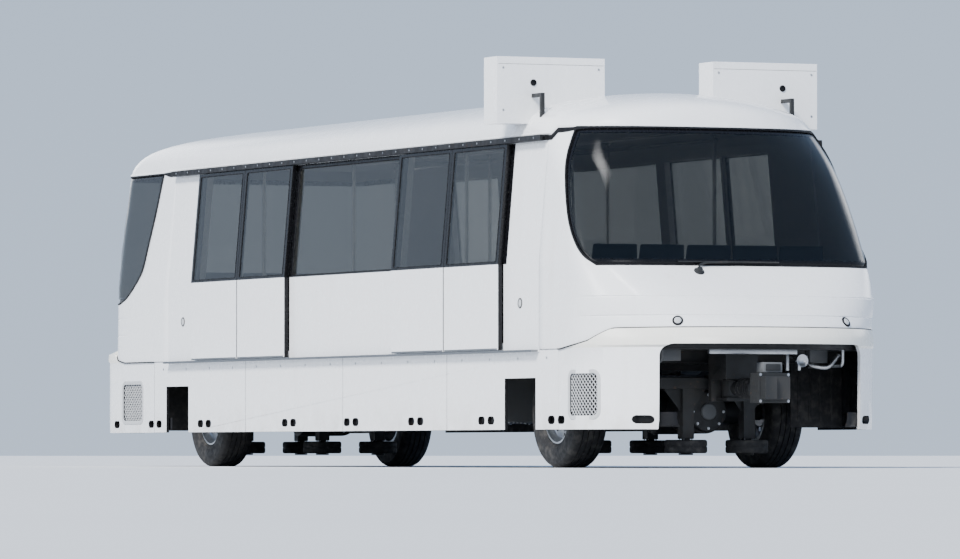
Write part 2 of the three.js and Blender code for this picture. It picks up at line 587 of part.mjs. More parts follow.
for (const [endName, direction] of ENDS) {
  const bogie = new THREE.Group();
  bogie.position.x = direction * BOGIE_X;
  car.add(bogie);

  const frameParts = [
    bar('z', TURNTABLE_RADIUS, [0, 0, 0], TURNTABLE_Z - 50, TURNTABLE_Z - 0.5, 24),
    block([-160, 160], [-700, 700], [TURNTABLE_Z - 110, TURNTABLE_Z - 45]),
  ];
  const axleParts = [
    bar('y', 105, [0, 0, AXLE_Z], -760, 760),
    bar('y', 200, [0, 0, AXLE_Z], -150, 150),
    bar('y', STUB_RADIUS - PIN_CLEARANCE, [0, 0, AXLE_Z], -WHEEL_Y - 95, WHEEL_Y + 95, WHEEL_SEGMENTS),
    bar('x', 90, [0, 0, AXLE_Z], 150, 330),
    bar('x', 180, [0, 0, AXLE_Z], 320, 840),
  ];
  for (const [, side] of SIDES) {
    const across = (a, b) => (side < 0 ? [-b, -a] : [a, b]);
    frameParts.push(
      block([-GUIDE_X - 60, GUIDE_X + 60], across(540, 660), [700, 800]),
      block([-90, 90], across(550, 650), [AXLE_Z + 105 + SEAT_GAP, 710]),
      bar('z', 120, [0, side * 600, 0], 795, TURNTABLE_Z - 105),
    );
  }
  for (const [, along] of ENDS) {
    frameParts.push(block([along * GUIDE_X - 60, along * GUIDE_X + 60], [-660, 660], [700, 800]));
    for (const [, side] of SIDES) {
      frameParts.push(
        block([along * GUIDE_X - 55, along * GUIDE_X + 55],
          [side * GUIDE_Y - 55, side * GUIDE_Y + 55], [GUIDE_Z[1] + 8, 710]),
        bar('z', GUIDE_PIN_RADIUS - PIN_CLEARANCE,
          [along * GUIDE_X, side * GUIDE_Y, 0], GUIDE_Z[0] - 6, GUIDE_Z[1] + 20),
        bar('z', GUIDE_PIN_RADIUS + 25,
          [along * GUIDE_X, side * GUIDE_Y, 0], GUIDE_Z[0] - 15, GUIDE_Z[0] - 0.5),
      );
    }
  }
  const frame = joined(frameParts)
    .subtract(bar('z', KINGPIN_RADIUS + 2, [0, 0, 0], TURNTABLE_Z - 70, TURNTABLE_Z + 10));
  place(`${endName}_bogie_frame`, frame, 'chassis', bogie);
  place(`${endName}_drive_axle`, joined(axleParts), 'chassis', bogie);

  for (const [sideName, side] of SIDES) {
    const wheel = new THREE.Group();
    wheel.position.set(0, side * WHEEL_Y, AXLE_Z);
    wheel.rotation.x = side < 0 ? Math.PI / 2 : -Math.PI / 2;
    bogie.add(wheel);
    place(`${endName}_tyre_${sideName}`, tyreSolid, 'rubber', wheel);
    place(`${endName}_rim_${sideName}`, rimSolid, 'alloy', wheel);
    for (const [alongName, along] of ENDS) {
      const guide = new THREE.Group();
      guide.position.set(along * GUIDE_X, side * GUIDE_Y, 0);
      bogie.add(guide);
      place(`${endName}_guide_wheel_${alongName}_${sideName}`, guideSolid, 'rubber', guide);
    }
  }
}

export default car;
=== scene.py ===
# Automated people mover car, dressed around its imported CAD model.
# Metres, in the frame of the CAD: +X is the raked front end, +Y the left side, +Z up.

import functools
import math

import bmesh
import bpy
import numpy as np
from mathutils import Matrix, Vector


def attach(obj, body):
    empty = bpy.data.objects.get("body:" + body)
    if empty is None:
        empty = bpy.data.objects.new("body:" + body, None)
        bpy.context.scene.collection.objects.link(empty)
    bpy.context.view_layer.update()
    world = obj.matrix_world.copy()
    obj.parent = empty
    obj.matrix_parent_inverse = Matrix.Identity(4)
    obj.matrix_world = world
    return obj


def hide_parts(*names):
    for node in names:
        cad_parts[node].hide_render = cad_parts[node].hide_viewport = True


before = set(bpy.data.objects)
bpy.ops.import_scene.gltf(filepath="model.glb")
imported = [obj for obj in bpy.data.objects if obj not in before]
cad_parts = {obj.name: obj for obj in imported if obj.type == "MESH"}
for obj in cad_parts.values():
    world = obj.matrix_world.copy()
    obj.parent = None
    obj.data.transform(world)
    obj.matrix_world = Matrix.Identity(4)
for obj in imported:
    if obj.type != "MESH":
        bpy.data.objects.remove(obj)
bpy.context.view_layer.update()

# Driving dimensions, as in the CAD

SIDES = {"right": -1, "left": 1}
ENDS = {"front": 1, "rear": -1}
WAIST_Z = 1.825
GUTTER_Z = 2.940
GUTTER_Y = 1.330
ROOF_SPLIT_Z = 2.962
VISOR_Z = 3.025
NOSE_SPLIT_X = 4.5
APRON_SPLIT_X = 4.9
APRON_THICK = 0.04
HALF_WIDTH = 1.425
SKIRT_Y = 1.415
SKIRT_THICK = 0.03
LEDGE_Z = 1.05
FLOOR_Z = 1.10
BAY_HALF_WIDTH = 0.98
BAY_TOP_Z = 1.085
GRILLE_X = {"front": (5.14, 5.56), "rear": (5.24, 5.77)}
GRILLE_Z = (0.46, 0.83)
DRAIN_Z = 0.425
DRAIN_SIZE = (0.150, 0.074)
DRAIN_SPACING = 0.21
DRAIN_PAIRS_X = (-4.88, -3.54, -1.34, 0.20, 1.73, 3.33, 4.85)
DRAIN_ENDS_X = (-5.95, 5.95)
TRACK_Y = 1.402
DOOR_X = 2.52
LEAF_WIDTH = 1.22
LEAF_PROUD = 0.056
LEAF_THICK = 0.042
PANE_Z = (1.85, 2.875)
PANE_FRAME = 0.055
WINDOW_HALF_LENGTH = 1.235
WINDOW_Z = (1.84, 2.87)
BOGIE_X = 4.17
WHEEL_Y = 0.97
TYRE_RADIUS = 0.5
TYRE_WIDTH = 0.33
STUB_RADIUS = 0.07
GUIDE_X = 1.0
GUIDE_Y = 0.3
GUIDE_RADIUS = 0.19
GUIDE_Z = (0.13, 0.25)
COUPLER_Z = 0.7
BRACKET_Y = 1.245
ROOF_BOX_FACE_X = 3.99
ROOF_BOX_BACK_X = 3.70

# Plan outline of the upper body at each height.
# Columns: z, half width, then for the front and the rear end: tip x, start of the curve x, roundness
BODY_LEVELS = np.array([
    (1.050, 1.425, 6.310, 5.100, 2.2, 6.130, 5.820, 4.0),
    (1.232, 1.425, 6.300, 5.100, 2.2, 6.120, 5.810, 4.0),
    (1.330, 1.425, 6.195, 5.110, 2.4, 6.116, 5.806, 4.0),
    (1.500, 1.425, 6.045, 5.135, 2.9, 6.110, 5.800, 4.0),
    (1.780, 1.425, 5.690, 5.130, 3.6, 6.105, 5.800, 4.0),
    (WAIST_Z, 1.425, 5.670, 5.090, 3.6, 6.105, 5.800, 4.0),
    (2.200, 1.393, 5.520, 4.930, 3.3, 6.100, 5.790, 4.0),
    (2.600, 1.359, 5.330, 4.680, 3.0, 6.060, 5.740, 3.9),
    (GUTTER_Z, GUTTER_Y, 5.150, 4.300, 2.6, 6.020, 5.690, 3.7),
    (3.030, 1.315, 5.100, 4.170, 2.5, 6.000, 5.650, 3.4),
    (3.140, 1.262, 5.050, 4.000, 2.5, 5.930, 5.500, 3.0),
    (3.235, 1.120, 4.960, 3.700, 2.3, 5.780, 5.250, 2.7),
    (3.310, 0.880, 4.730, 3.250, 2.2, 5.480, 4.800, 2.4),
    (3.362, 0.550, 4.330, 2.800, 2.0, 4.950, 4.000, 2.2),
    (3.390, 0.180, 3.700, 2.400, 2.0, 4.100, 3.100, 2.0),
])
WAIST_ROW = 5
GUTTER_ROW = 8

# Plan outline of the skirt level, with the same columns
APRON_LEVELS = np.array([
    (0.340, 1.415, 6.320, 5.100, 2.2, 6.345, 6.080, 3.8),
    (0.420, 1.415, 6.340, 5.110, 2.2, 6.355, 6.090, 3.8),
    (1.055, 1.415, 6.350, 5.110, 2.2, 6.355, 6.090, 3.8),
    (1.075, 1.425, 6.375, 5.110, 2.2, 6.375, 6.100, 3.8),
    (1.140, 1.425, 6.370, 5.110, 2.2, 6.370, 6.090, 3.8),
    (1.180, 1.425, 6.350, 5.105, 2.2, 6.130, 5.820, 4.0),
    (1.250, 1.425, 6.300, 5.100, 2.2, 6.120, 5.810, 4.0),
])

# Crease between apron and nose cap, seen from the side: x, z
CREASES = {
    "front": [(4.5, 1.05), (4.95, 1.05), (5.25, 1.085), (5.44, 1.115), (5.64, 1.195), (5.72, 1.222),
              (6.5, 1.232)],
    "rear": [(4.5, 1.05), (5.72, 1.052), (5.9, 1.08), (6.02, 1.16), (6.08, 1.186), (6.5, 1.19)],
}

# Side edge of each windscreen, seen from the side, from its lower corner up: x, z
SCREEN_EDGES = {
    "front": [(5.5, 1.78), (5.44, 1.815), (5.28, 1.93), (5.06, 2.19), (4.89, 2.6), (4.77, 2.93),
              (4.725, VISOR_Z)],
    "rear": [(5.85, 1.655), (5.765, 1.672), (5.56, 1.757), (5.385, 1.857), (5.235, 1.985),
             (5.11, 2.262), (4.99, 2.541), (4.895, 2.803), (4.84, ROOF_SPLIT_Z)],
}


# Curves and surfaces of the body

def through(xs, rows, x):
    """Value at x of a smooth curve through rows, without overshoot between them"""
    i = int(min(max(np.searchsorted(xs, x, side="right") - 1, 0), len(xs) - 2))
    slopes = np.diff(rows, axis=0) / np.diff(xs)[:, None]

    def tangent(k):
        if k == 0 or k == len(xs) - 1:
            return slopes[min(k, len(slopes) - 1)]
        before, after = slopes[k - 1], slopes[k]
        both = before + after
        safe = np.where(np.abs(both) < 1e-12, 1.0, both)
        return np.where(before * after <= 0, 0.0, 2 * before * after / safe)

    width = xs[i + 1] - xs[i]
    t = (x - xs[i]) / width
    return ((2 * t ** 3 - 3 * t ** 2 + 1) * rows[i] + (t ** 3 - 2 * t ** 2 + t) * width * tangent(i)
            + (3 * t ** 2 - 2 * t ** 3) * rows[i + 1] + (t ** 3 - t ** 2) * width * tangent(i + 1))


def straight_level(levels, z):
    return np.array([np.interp(z, levels[:, 0], levels[:, k]) for k in range(levels.shape[1])])


def body_level(z):
    """Row of the body's outline at a height: straight between rows up to the waist, smooth above"""
    if z <= WAIST_Z:
        return straight_level(BODY_LEVELS, z)
    upper = BODY_LEVELS[WAIST_ROW:]
    return through(upper[:, 0], upper, z)


def apron_level(z):
    return straight_level(APRON_LEVELS, z)


def lengths(points):
    return np.concatenate([[0.0], np.cumsum(np.linalg.norm(np.diff(points, axis=0), axis=1))])


ROOF = BODY_LEVELS[GUTTER_ROW:]
ROOF_STEPS = lengths(ROOF[:, :2])


def roof_level(t):
    """Row of the roof's outline at a share t of the way over the roof, from gutter to crown"""
    return through(ROOF_STEPS, ROOF, t * ROOF_STEPS[-1])


def end_curve(row, end):
    """Tip, start and roundness of one end's curve"""
    return row[2:5] if end == "front" else row[5:8]


def outline(row, end, x_from, inset=0.0, count=260):
    """Plan outline of one end from (x_from, -half) round the tip to (x_from, half), as (x, y) rows"""
    half = row[1] - inset
    tip, start, roundness = end_curve(row, end)
    tip -= inset
    reach = max(0.0, (x_from - start) / (tip - start)) ** (roundness / 2)
    angles = np.linspace(-math.acos(min(1.0, reach)), math.acos(min(1.0, reach)), count)
    across = np.sign(angles) * np.abs(np.sin(angles)) ** (2 / roundness) * half
    along = start + (tip - start) * np.cos(angles).clip(0) ** (2 / roundness)
    points = np.stack([along, across], 1)
    if x_from < start:
        points = np.vstack([[x_from, -half], points, [x_from, half]])
    return points


def half_width_at(row, end, x, inset=0.0):
    """Half width of an outline at a place along the car"""
    tip, start, roundness = end_curve(row, end)
    share = max(0.0, (x - start) / (tip - inset - start)) ** roundness
    return (row[1] - inset) * max(0.0, 1 - share) ** (1 / roundness)


def reach_at(row, end, y, inset=0.0):
    """How far along the car an outline reaches at a place across it"""
    tip, start, roundness = end_curve(row, end)
    share = min(1.0, abs(y) / (row[1] - inset)) ** roundness
    return start + (tip - inset - start) * (1 - share) ** (1 / roundness)


def resampled(points, start, stop, count, edge=0.0):
    """Points at even steps between two distances along a line, with first and last cell edge wide"""
    along = lengths(points)
    marks = np.linspace(start, stop, count + 1)
    if edge:
        marks = np.concatenate([[start], np.linspace(start + edge, stop - edge, count - 1), [stop]])
    return np.stack([np.interp(marks, along, points[:, k]) for k in range(points.shape[1])], 1)


def distance_at_x(points, x):
    """Distance along the first half of an outline where it reaches x"""
    middle = len(points) // 2
    return float(np.interp(x, points[:middle + 1, 0], lengths(points)[:middle + 1]))


def joint_z(end, x):
    """Height of the joint under the roof at a place along the car"""
    if end == "rear":
        return ROOF_SPLIT_Z
    return float(np.interp(x, [NOSE_SPLIT_X, NOSE_SPLIT_X + 0.06], [ROOF_SPLIT_Z, VISOR_Z]))


def crease_z(end, x):
    return float(np.interp(x, *np.array(CREASES[end]).T))


@functools.lru_cache(maxsize=None)
def screen_edge(end):
    """Smooth side edge of a windscreen as dense x and z rows"""
    points = np.array(SCREEN_EDGES[end])
    steps = lengths(points)
    dense = np.array([through(steps, points, s) for s in np.linspace(0, steps[-1], 120)])
    return dense[:, 0], dense[:, 1]


def screen_edge_x(end, z):
    edge_x, edge_z = screen_edge(end)
    return float(np.interp(z, edge_z, edge_x))


def wall_y(z):
    return HALF_WIDTH - max(0.0, z - WAIST_Z) * (HALF_WIDTH - GUTTER_Y) / (GUTTER_Z - WAIST_Z)


def ease(x, low, high):
    t = min(max((x - low) / (high - low), 0.0), 1.0)
    return t * t * (3 - 2 * t)


def span(sign, near, far):
    """Low and high of two distances that are mirrored with an end or a side"""
    return sorted((sign * near, sign * far))


# Mesh building: each shape is a list of points and a list of faces

def grid(rows, closed=False, skip=None):
    count = len(rows[0])
    points = [tuple(point) for row in rows for point in row]
    faces = []
    for i in range(len(rows) - 1):
        for j in range(count if closed else count - 1):
            if skip and skip(i, j):
                continue
            k = (j + 1) % count
            faces.append((i * count + j, i * count + k, (i + 1) * count + k, (i + 1) * count + j))
    return points, faces


def joined(shapes):
    points, faces = [], []
    for more_points, more_faces in shapes:
        faces += [tuple(index + len(points) for index in face) for face in more_faces]
        points += [tuple(point) for point in more_points]
    return points, faces


def crossways(direction):
    axis = Vector(direction).normalized()
    first = axis.orthogonal().normalized()
    return first, axis.cross(first), axis


def lathe(profile, origin, direction, segments=32, capped=False, dent=None):
    """Profile of (radius, along) pairs turned round an axis; it closes on itself unless capped"""
    first, second, axis = crossways(direction)
    rows = []
    for radius, along in profile:
        ring = []
        for i in range(segments):
            angle = 2 * math.pi * i / segments
            reach = radius - (dent(radius, along, i) if dent else 0.0)
            ring.append(Vector(origin) + axis * along
                        + (first * math.cos(angle) + second * math.sin(angle)) * reach)
        rows.append(ring)
    if not capped:
        rows.append(rows[0])
    points, faces = grid(rows, closed=True)
    if capped:
        last = (len(rows) - 1) * segments
        faces.append(tuple(reversed(range(segments))))
        faces.append(tuple(range(last, last + segments)))
    return points, faces


def rod(start, stop, radius, segments=16, chamfer=0.003):
    """Round bar with chamfered ends"""
    length = (Vector(stop) - Vector(start)).length
    chamfer = min(chamfer, radius * 0.4, length * 0.4)
    profile = [(radius - chamfer, 0), (radius, chamfer), (radius, length - chamfer),
               (radius - chamfer, length)]
    return lathe(profile, start, Vector(stop) - Vector(start), segments, capped=True)


def tube(path, radius, sides=8, closed=False):
    """Round tube along a path of points"""
    path = [Vector(point) for point in path]
    count = len(path)
    rows = []
    side = None
    for i, point in enumerate(path):
        ahead = path[(i + 1) % count] if closed or i + 1 < count else point
        behind = path[i - 1] if closed or i > 0 else point
        direction = (ahead - behind).normalized()
        if side is None:
            side = crossways(direction)[0]
        side = (side - direction * side.dot(direction)).normalized()
        other = direction.cross(side)
        rows.append([point + (side * math.cos(a) + other * math.sin(a)) * radius
                     for a in np.linspace(0, 2 * math.pi, sides, endpoint=False)])
    if closed:
        rows.append(rows[0])
    points, faces = grid(rows, closed=True)
    if not closed:
        last = (count - 1) * sides
        faces.append(tuple(reversed(range(sides))))
        faces.append(tuple(range(last, last + sides)))
    return points, faces


def rounded_path(corners, radius, steps=6):
    """Path through corners with each inner corner turned into a smooth bend"""
    corners = [Vector(corner) for corner in corners]
    path = [corners[0]]
    for before, corner, after in zip(corners, corners[1:], corners[2:]):
        entry = corner + (before - corner).normalized() * radius
        leave = corner + (after - corner).normalized() * radius
        for t in np.linspace(0, 1, steps + 1):
            path.append(entry * (1 - t) ** 2 + corner * 2 * t * (1 - t) + leave * t ** 2)
    path.append(corners[-1])
    return path


def rounded_rectangle(a0, a1, b0, b1, radius, steps=5):
    """Closed rectangle with round corners as (a, b) points"""
    points = []
    for a, b, turn in ((a1, b0, -90), (a1, b1, 0), (a0, b1, 90), (a0, b0, 180)):
        center_a = a - math.copysign(radius, a - (a0 + a1) / 2)
        center_b = b - math.copysign(radius, b - (b0 + b1) / 2)
        for step in range(steps + 1):
            angle = math.radians(turn + 90 * step / steps)
            points.append((center_a + radius * math.cos(angle), center_b + radius * math.sin(angle)))
    return points


def rounded_box(x, y, z, radius=0.004, segments=2):
    """Box between low and high values on each axis, with rounded edges"""
    low = [min(pair) for pair in (x, y, z)]
    high = [max(pair) for pair in (x, y, z)]
    mesh = bmesh.new()
    bmesh.ops.create_cube(mesh, size=1.0)
    for vert in mesh.verts:
        vert.co = Vector([(low[k] + high[k]) / 2 + vert.co[k] * (high[k] - low[k]) for k in range(3)])
    radius = min(radius, 0.4 * min(high[k] - low[k] for k in range(3)))
    bmesh.ops.bevel(mesh, geom=mesh.edges[:], offset=radius, segments=segments, profile=0.5,
                    affect="EDGES")
    mesh.verts.index_update()
    points = [tuple(vert.co) for vert in mesh.verts]
    faces = [tuple(vert.index for vert in face.verts) for face in mesh.faces]
    mesh.free()
    return points, faces


def mirrored_box(direction, side, x, y, z, radius):
    """Rounded box that is mirrored with an end and a side"""
    return rounded_box([direction * value for value in x], [side * value for value in y], z, radius)


def prism(points, axis, low, high):
    """Polygon swept along an axis: its points are (y, z) for x, (x, z) for y and (x, y) for z"""
    def place(a, b, c):
        return {"x": (c, a, b), "y": (a, c, b), "z": (a, b, c)}[axis]

    count = len(points)
    corners = [place(a, b, low) for a, b in points] + [place(a, b, high) for a, b in points]
    faces = [tuple(range(count)), tuple(reversed(range(count, 2 * count)))]
    faces += [(i, (i + 1) % count, (i + 1) % count + count, i + count) for i in range(count)]
    return corners, faces


def bolt(place, direction, size=0.012, height=0.008):
    """Hexagon head on a washer"""
    washer = lathe([(size, 0), (size * 1.35, 0), (size * 1.35, size * 0.18), (size, size * 0.18)],
                   place, direction, 12, capped=True)
    head = lathe([(size, size * 0.18), (size, height), (size * 0.85, height * 1.2)], place, direction, 6,
                 capped=True)
    return joined([washer, head])


def bolts(places, direction, size=0.012, height=0.008):
    return joined([bolt(place, direction, size, height) for place in places])


def on_circle(center, direction, radius, count, turn=0.0):
    first, second, _ = crossways(direction)
    angles = [turn + 2 * math.pi * k / count for k in range(count)]
    return [Vector(center) + (first * math.cos(a) + second * math.sin(a)) * radius for a in angles]


def wall_strip(side, inner, outer, z_range, x_range):
    """Flat strip on a side wall, from an inner to an outer offset of the wall's face"""
    low, high = z_range
    heights = [low, WAIST_Z, high] if low < WAIST_Z < high else [low, high]
    profile = [(side * (wall_y(z) + outer), z) for z in heights]
    profile += [(side * (wall_y(z) + inner), z) for z in reversed(heights)]
    return prism(profile, "x", *x_range)


def wall_frame(side, offset, x_range, z_range, radius):
    """Closed path round an opening in a side wall"""
    return [(x, side * (wall_y(z) + offset), z)
            for x, z in rounded_rectangle(*x_range, *z_range, radius)]


# Objects

WELD_DISTANCE = 1e-5
BEVEL_FROM = 32.0                    # degrees; edges that turn by more are rounded
SHARP_FROM = 35.0                    # degrees; edges that turn by more are shaded as edges


def placed(name, data):
    """A new object in the scene"""
    obj = bpy.data.objects.new(name, data)
    bpy.context.scene.collection.objects.link(obj)
    return obj


def new_mesh(name, parts):
    """Mesh of (shape, material) pairs, with points that meet joined into one"""
    points, faces = joined([shape for shape, _ in parts])
    materials = list(dict.fromkeys(material for _, material in parts))
    mesh = bpy.data.meshes.new(name)
    mesh.from_pydata([tuple(point) for point in points], [], faces)
    for material in materials:
        mesh.materials.append(material)
    picks = np.repeat([materials.index(material) for _, material in parts],
                      [len(shape[1]) for shape, _ in parts])
    mesh.polygons.foreach_set("material_index", picks)
    work = bmesh.new()
    work.from_mesh(mesh)
    bmesh.ops.remove_doubles(work, verts=work.verts[:], dist=WELD_DISTANCE)
    bmesh.ops.recalc_face_normals(work, faces=work.faces[:])
    work.to_mesh(mesh)
    work.free()
    return mesh


def finish_edges(obj, bevel, sharp):
    if bevel:
        rounding = obj.modifiers.new("Edges", "BEVEL")
        rounding.width = bevel
        rounding.segments = 2
        rounding.limit_method = "ANGLE"
        rounding.angle_limit = math.radians(BEVEL_FROM)
    mesh = obj.data
    mesh.polygons.foreach_set("use_smooth", [True] * len(mesh.polygons))
    mesh.set_sharp_from_angle(angle=math.radians(sharp))


def piece(name, parts, body="car", replaces=(), sharp=SHARP_FROM, thick=0.0, bevel=0.0, lining=None):
    """A mesh that rides on a CAD body; parts pairs each shape with its material"""
    mesh = new_mesh(name, parts)
    obj = placed(name, mesh)
    if thick:
        solid = obj.modifiers.new("Solid", "SOLIDIFY")
        solid.thickness = thick
        solid.offset = -1.0
        if lining:
            solid.material_offset = len(mesh.materials)
            mesh.materials.append(lining)
    finish_edges(obj, bevel, sharp)
    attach(obj, body)
    if replaces:
        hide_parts(*replaces)
    return obj


def cut(obj, cutters, bevel):
    """Cuts closed shapes out of an object, one after another, and keeps the result as its mesh"""
    tools = []
    for shape in cutters:
        tool = placed("cutter", new_mesh("cutter", [(shape, None)]))
        tools.append(tool)
        knife = obj.modifiers.new("Cut", "BOOLEAN")
        knife.operation = "DIFFERENCE"
        knife.solver = "EXACT"
        knife.object = tool
    depsgraph = bpy.context.evaluated_depsgraph_get()
    result = bpy.data.meshes.new_from_object(obj.evaluated_get(depsgraph))
    obj.modifiers.clear()
    obj.data = result
    for tool in tools:
        bpy.data.meshes.remove(tool.data)
    finish_edges(obj, bevel, SHARP_FROM)


def repaint(obj, materials, choose):
    """Replaces an object's materials, and picks one for each face by its middle and normal"""
    mesh = obj.data
    mesh.materials.clear()
    for material in materials:
        mesh.materials.append(material)
    picks = [choose(polygon.center, polygon.normal) for polygon in mesh.polygons]
    mesh.polygons.foreach_set("material_index", picks)


def kept(node, materials, choose=None, bevel=0.0):
    """A CAD node that stays, with its own materials and softened edges"""
    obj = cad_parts[node]
    repaint(obj, materials, choose or (lambda center, normal: 0))
    if not bevel:
        return obj
    custom = obj.data.attributes.get("custom_normal")
    if custom:
        obj.data.attributes.remove(custom)
    weld = obj.modifiers.new("Weld", "WELD")
    weld.merge_threshold = WELD_DISTANCE
    finish_edges(obj, bevel, SHARP_FROM)
    flatten = obj.modifiers.new("Normals", "WEIGHTED_NORMAL")
    flatten.keep_sharp = True
    return obj


# Finishes

def socket(sockets, identifier):
    return next(item for item in sockets if item.identifier == identifier)


def math_node(tree, operation, value, other=None):
    """Math node on a value; its second input takes a number or another value"""
    node = tree.nodes.new("ShaderNodeMath")
    node.operation = operation
    tree.links.new(value, node.inputs[0])
    if isinstance(other, float):
        node.inputs[1].default_value = other
    elif other is not None:
        tree.links.new(other, node.inputs[1])
    return node.outputs[0]


class Finish:
    """Node-based material on a Principled shader, in the object's own coordinates"""

    def __init__(self, name, color, roughness, metallic=0.0, **sockets):
        self.material = bpy.data.materials.new(name)
        self.material.use_nodes = True
        self.tree = self.material.node_tree
        self.shader = self.tree.nodes["Principled BSDF"]
        self.place = self.node("TexCoord").outputs["Object"]
        self.color = color
        values = {"Base Color": (*color, 1.0), "Roughness": roughness, "Metallic": metallic}
        values |= {key.replace("_", " "): value for key, value in sockets.items()}
        for key, value in values.items():
            self.shader.inputs[key].default_value = value

    def link(self, output, node_input):
        self.tree.links.new(output, node_input)

    def node(self, kind, values=(), links=()):
        """A new node; values and links are (input, number) and (input, output) pairs"""
        node = self.tree.nodes.new(f"ShaderNode{kind}")
        for key, value in values:
            node.inputs[key].default_value = value
        for key, output in links:
            self.link(output, node.inputs[key])
        return node

    def noise(self, scale, detail=4.0, stretch=(1, 1, 1)):
        place = self.node("Mapping", [("Scale", stretch)], [("Vector", self.place)]).outputs[0]
        noise = self.node("TexNoise", [("Scale", scale), ("Detail", detail)], [("Vector", place)])
        return noise.outputs["Fac"]

    def height(self, low, high):
        """1 at height low, falling to 0 at height high"""
        split = self.node("SeparateXYZ", links=[("Vector", self.place)])
        return self.ranged(split.outputs["Z"], low, high, 1.0, 0.0)

    def ranged(self, value, low, high, to_low, to_high):
        """Smooth step from to_low to to_high as a value goes from low to high"""
        limits = [("From Min", low), ("From Max", high), ("To Min", to_low), ("To Max", to_high)]
        node = self.node("MapRange", limits, [("Value", value)])
        node.interpolation_type = "SMOOTHSTEP"
        return node.outputs[0]

    def patches(self, scale, detail, low, high, amount, stretch=(1, 1, 1)):
        """Noise from low to high as an amount from 0 up"""
        return self.ranged(self.noise(scale, detail, stretch), low, high, 0.0, amount)

    def tint(self, amount, color):
        """Mixes a colour over what is there, by an amount that varies over the surface"""
        node = self.node("Mix")
        node.data_type = "RGBA"
        self.link(amount, socket(node.inputs, "Factor_Float"))
        under = socket(node.inputs, "A_Color")
        if isinstance(self.color, tuple):
            under.default_value = (*self.color, 1.0)
        else:
            self.link(self.color, under)
        socket(node.inputs, "B_Color").default_value = (*color, 1.0)
        self.color = socket(node.outputs, "Result_Color")
        self.link(self.color, self.shader.inputs["Base Color"])

    def vary_roughness(self, value, low, high):
        self.link(self.ranged(value, 0.3, 0.7, low, high), self.shader.inputs["Roughness"])

    def bump(self, height, strength, distance=0.001):
        node = self.node("Bump", [("Strength", strength), ("Distance", distance)], [("Height", height)])
        self.link(node.outputs[0], self.shader.inputs["Normal"])


DUST = (0.46, 0.42, 0.36)
ROAD_DUST = (0.13, 0.115, 0.10)
RUST = (0.15, 0.085, 0.05)
RUBBER_DUST = (0.10, 0.094, 0.085)
GLASS_FILM = (0.20, 0.21, 0.21)
FLECKS = (0.42, 0.43, 0.44)


def darker(color, share):
    return tuple(share * value for value in color)


def coated_paint(name, color, dusty=0.35):
    """Gloss vehicle paint with faint streaks, a little dust low down and orange peel"""
    paint = Finish(name, color, 0.24, Coat_Weight=0.5, Coat_Roughness=0.06)
    paint.tint(paint.patches(0.7, 3.0, 0.35, 0.7, 0.10), darker(color, 0.85))
    paint.tint(paint.patches(5.0, 5.0, 0.55, 0.85, 0.14, (1.2, 1.2, 0.12)), DUST)
    low_dust = paint.ranged(paint.noise(6.0, 6.0), 0.35, 0.75, 0.1 * dusty, dusty)
    paint.tint(math_node(paint.tree, "MULTIPLY", paint.height(0.32, 0.70), low_dust), DUST)
    paint.vary_roughness(paint.noise(9.0, 4.0), 0.20, 0.30)
    paint.bump(paint.noise(260.0, 2.0), 0.03, 0.0005)
    return paint.material


def chassis_paint(name, color=(0.019, 0.020, 0.021), dust=0.22):
    """Satin paint, black unless told, with road dust and a little rust in patches"""
    paint = Finish(name, color, 0.5, Specular_IOR_Level=0.3)
    paint.tint(paint.patches(3.0, 6.0, 0.45, 0.8, dust), ROAD_DUST)
    paint.tint(paint.patches(24.0, 6.0, 0.64, 0.80, 0.35), RUST)
    paint.vary_roughness(paint.noise(12.0, 5.0), 0.42, 0.72)
    paint.bump(paint.noise(140.0, 4.0), 0.2, 0.001)
    return paint.material


def rubber(name, color, dusty):
    compound = Finish(name, color, 0.7, Specular_IOR_Level=0.25)
    compound.tint(compound.patches(14.0, 6.0, 0.45, 0.75, dusty), RUBBER_DUST)
    compound.vary_roughness(compound.noise(25.0, 4.0), 0.55, 0.85)
    compound.bump(compound.noise(420.0, 3.0), 0.2, 0.0006)
    return compound.material


def metal(name, color, roughness, grain=(1, 1, 1), wear=0.25):
    """Bare metal with a directional grain and darker stains"""
    surface = Finish(name, color, roughness, 1.0)
    surface.tint(surface.patches(18.0, 6.0, 0.5, 0.8, wear), darker(color, 0.45))
    surface.vary_roughness(surface.noise(60.0, 4.0, grain), roughness - 0.08, roughness + 0.12)
    surface.bump(surface.noise(220.0, 3.0, grain), 0.08, 0.0005)
    return surface.material


def glazing(name, color):
    """Tinted safety glass with a faint film of dust"""
    glass = Finish(name, color, 0.02, Transmission_Weight=1.0, IOR=1.33, Specular_IOR_Level=0.3)
    glass.tint(glass.patches(2.2, 5.0, 0.4, 0.8, 0.05, (1, 1, 0.5)), GLASS_FILM)
    glass.vary_roughness(glass.noise(3.5, 5.0), 0.0, 0.02)
    return glass.material


def plastic(name, color, roughness, grain=500.0, shine=0.5):
    moulded = Finish(name, color, roughness, Specular_IOR_Level=shine)
    moulded.tint(moulded.patches(5.0, 4.0, 0.45, 0.75, 0.18), darker(color, 0.75))
    moulded.vary_roughness(moulded.noise(30.0, 4.0), roughness - 0.06, roughness + 0.1)
    moulded.bump(moulded.noise(grain, 2.0), 0.15, 0.0004)
    return moulded.material


def flecked_floor(name, color):
    """Vinyl floor covering with fine flecks"""
    sheet = Finish(name, color, 0.45)
    sheet.tint(sheet.patches(320.0, 2.0, 0.58, 0.64, 0.7), FLECKS)
    sheet.tint(sheet.patches(2.0, 4.0, 0.45, 0.75, 0.25), darker(color, 0.6))
    sheet.vary_roughness(sheet.noise(8.0, 4.0), 0.38, 0.55)
    return sheet.material


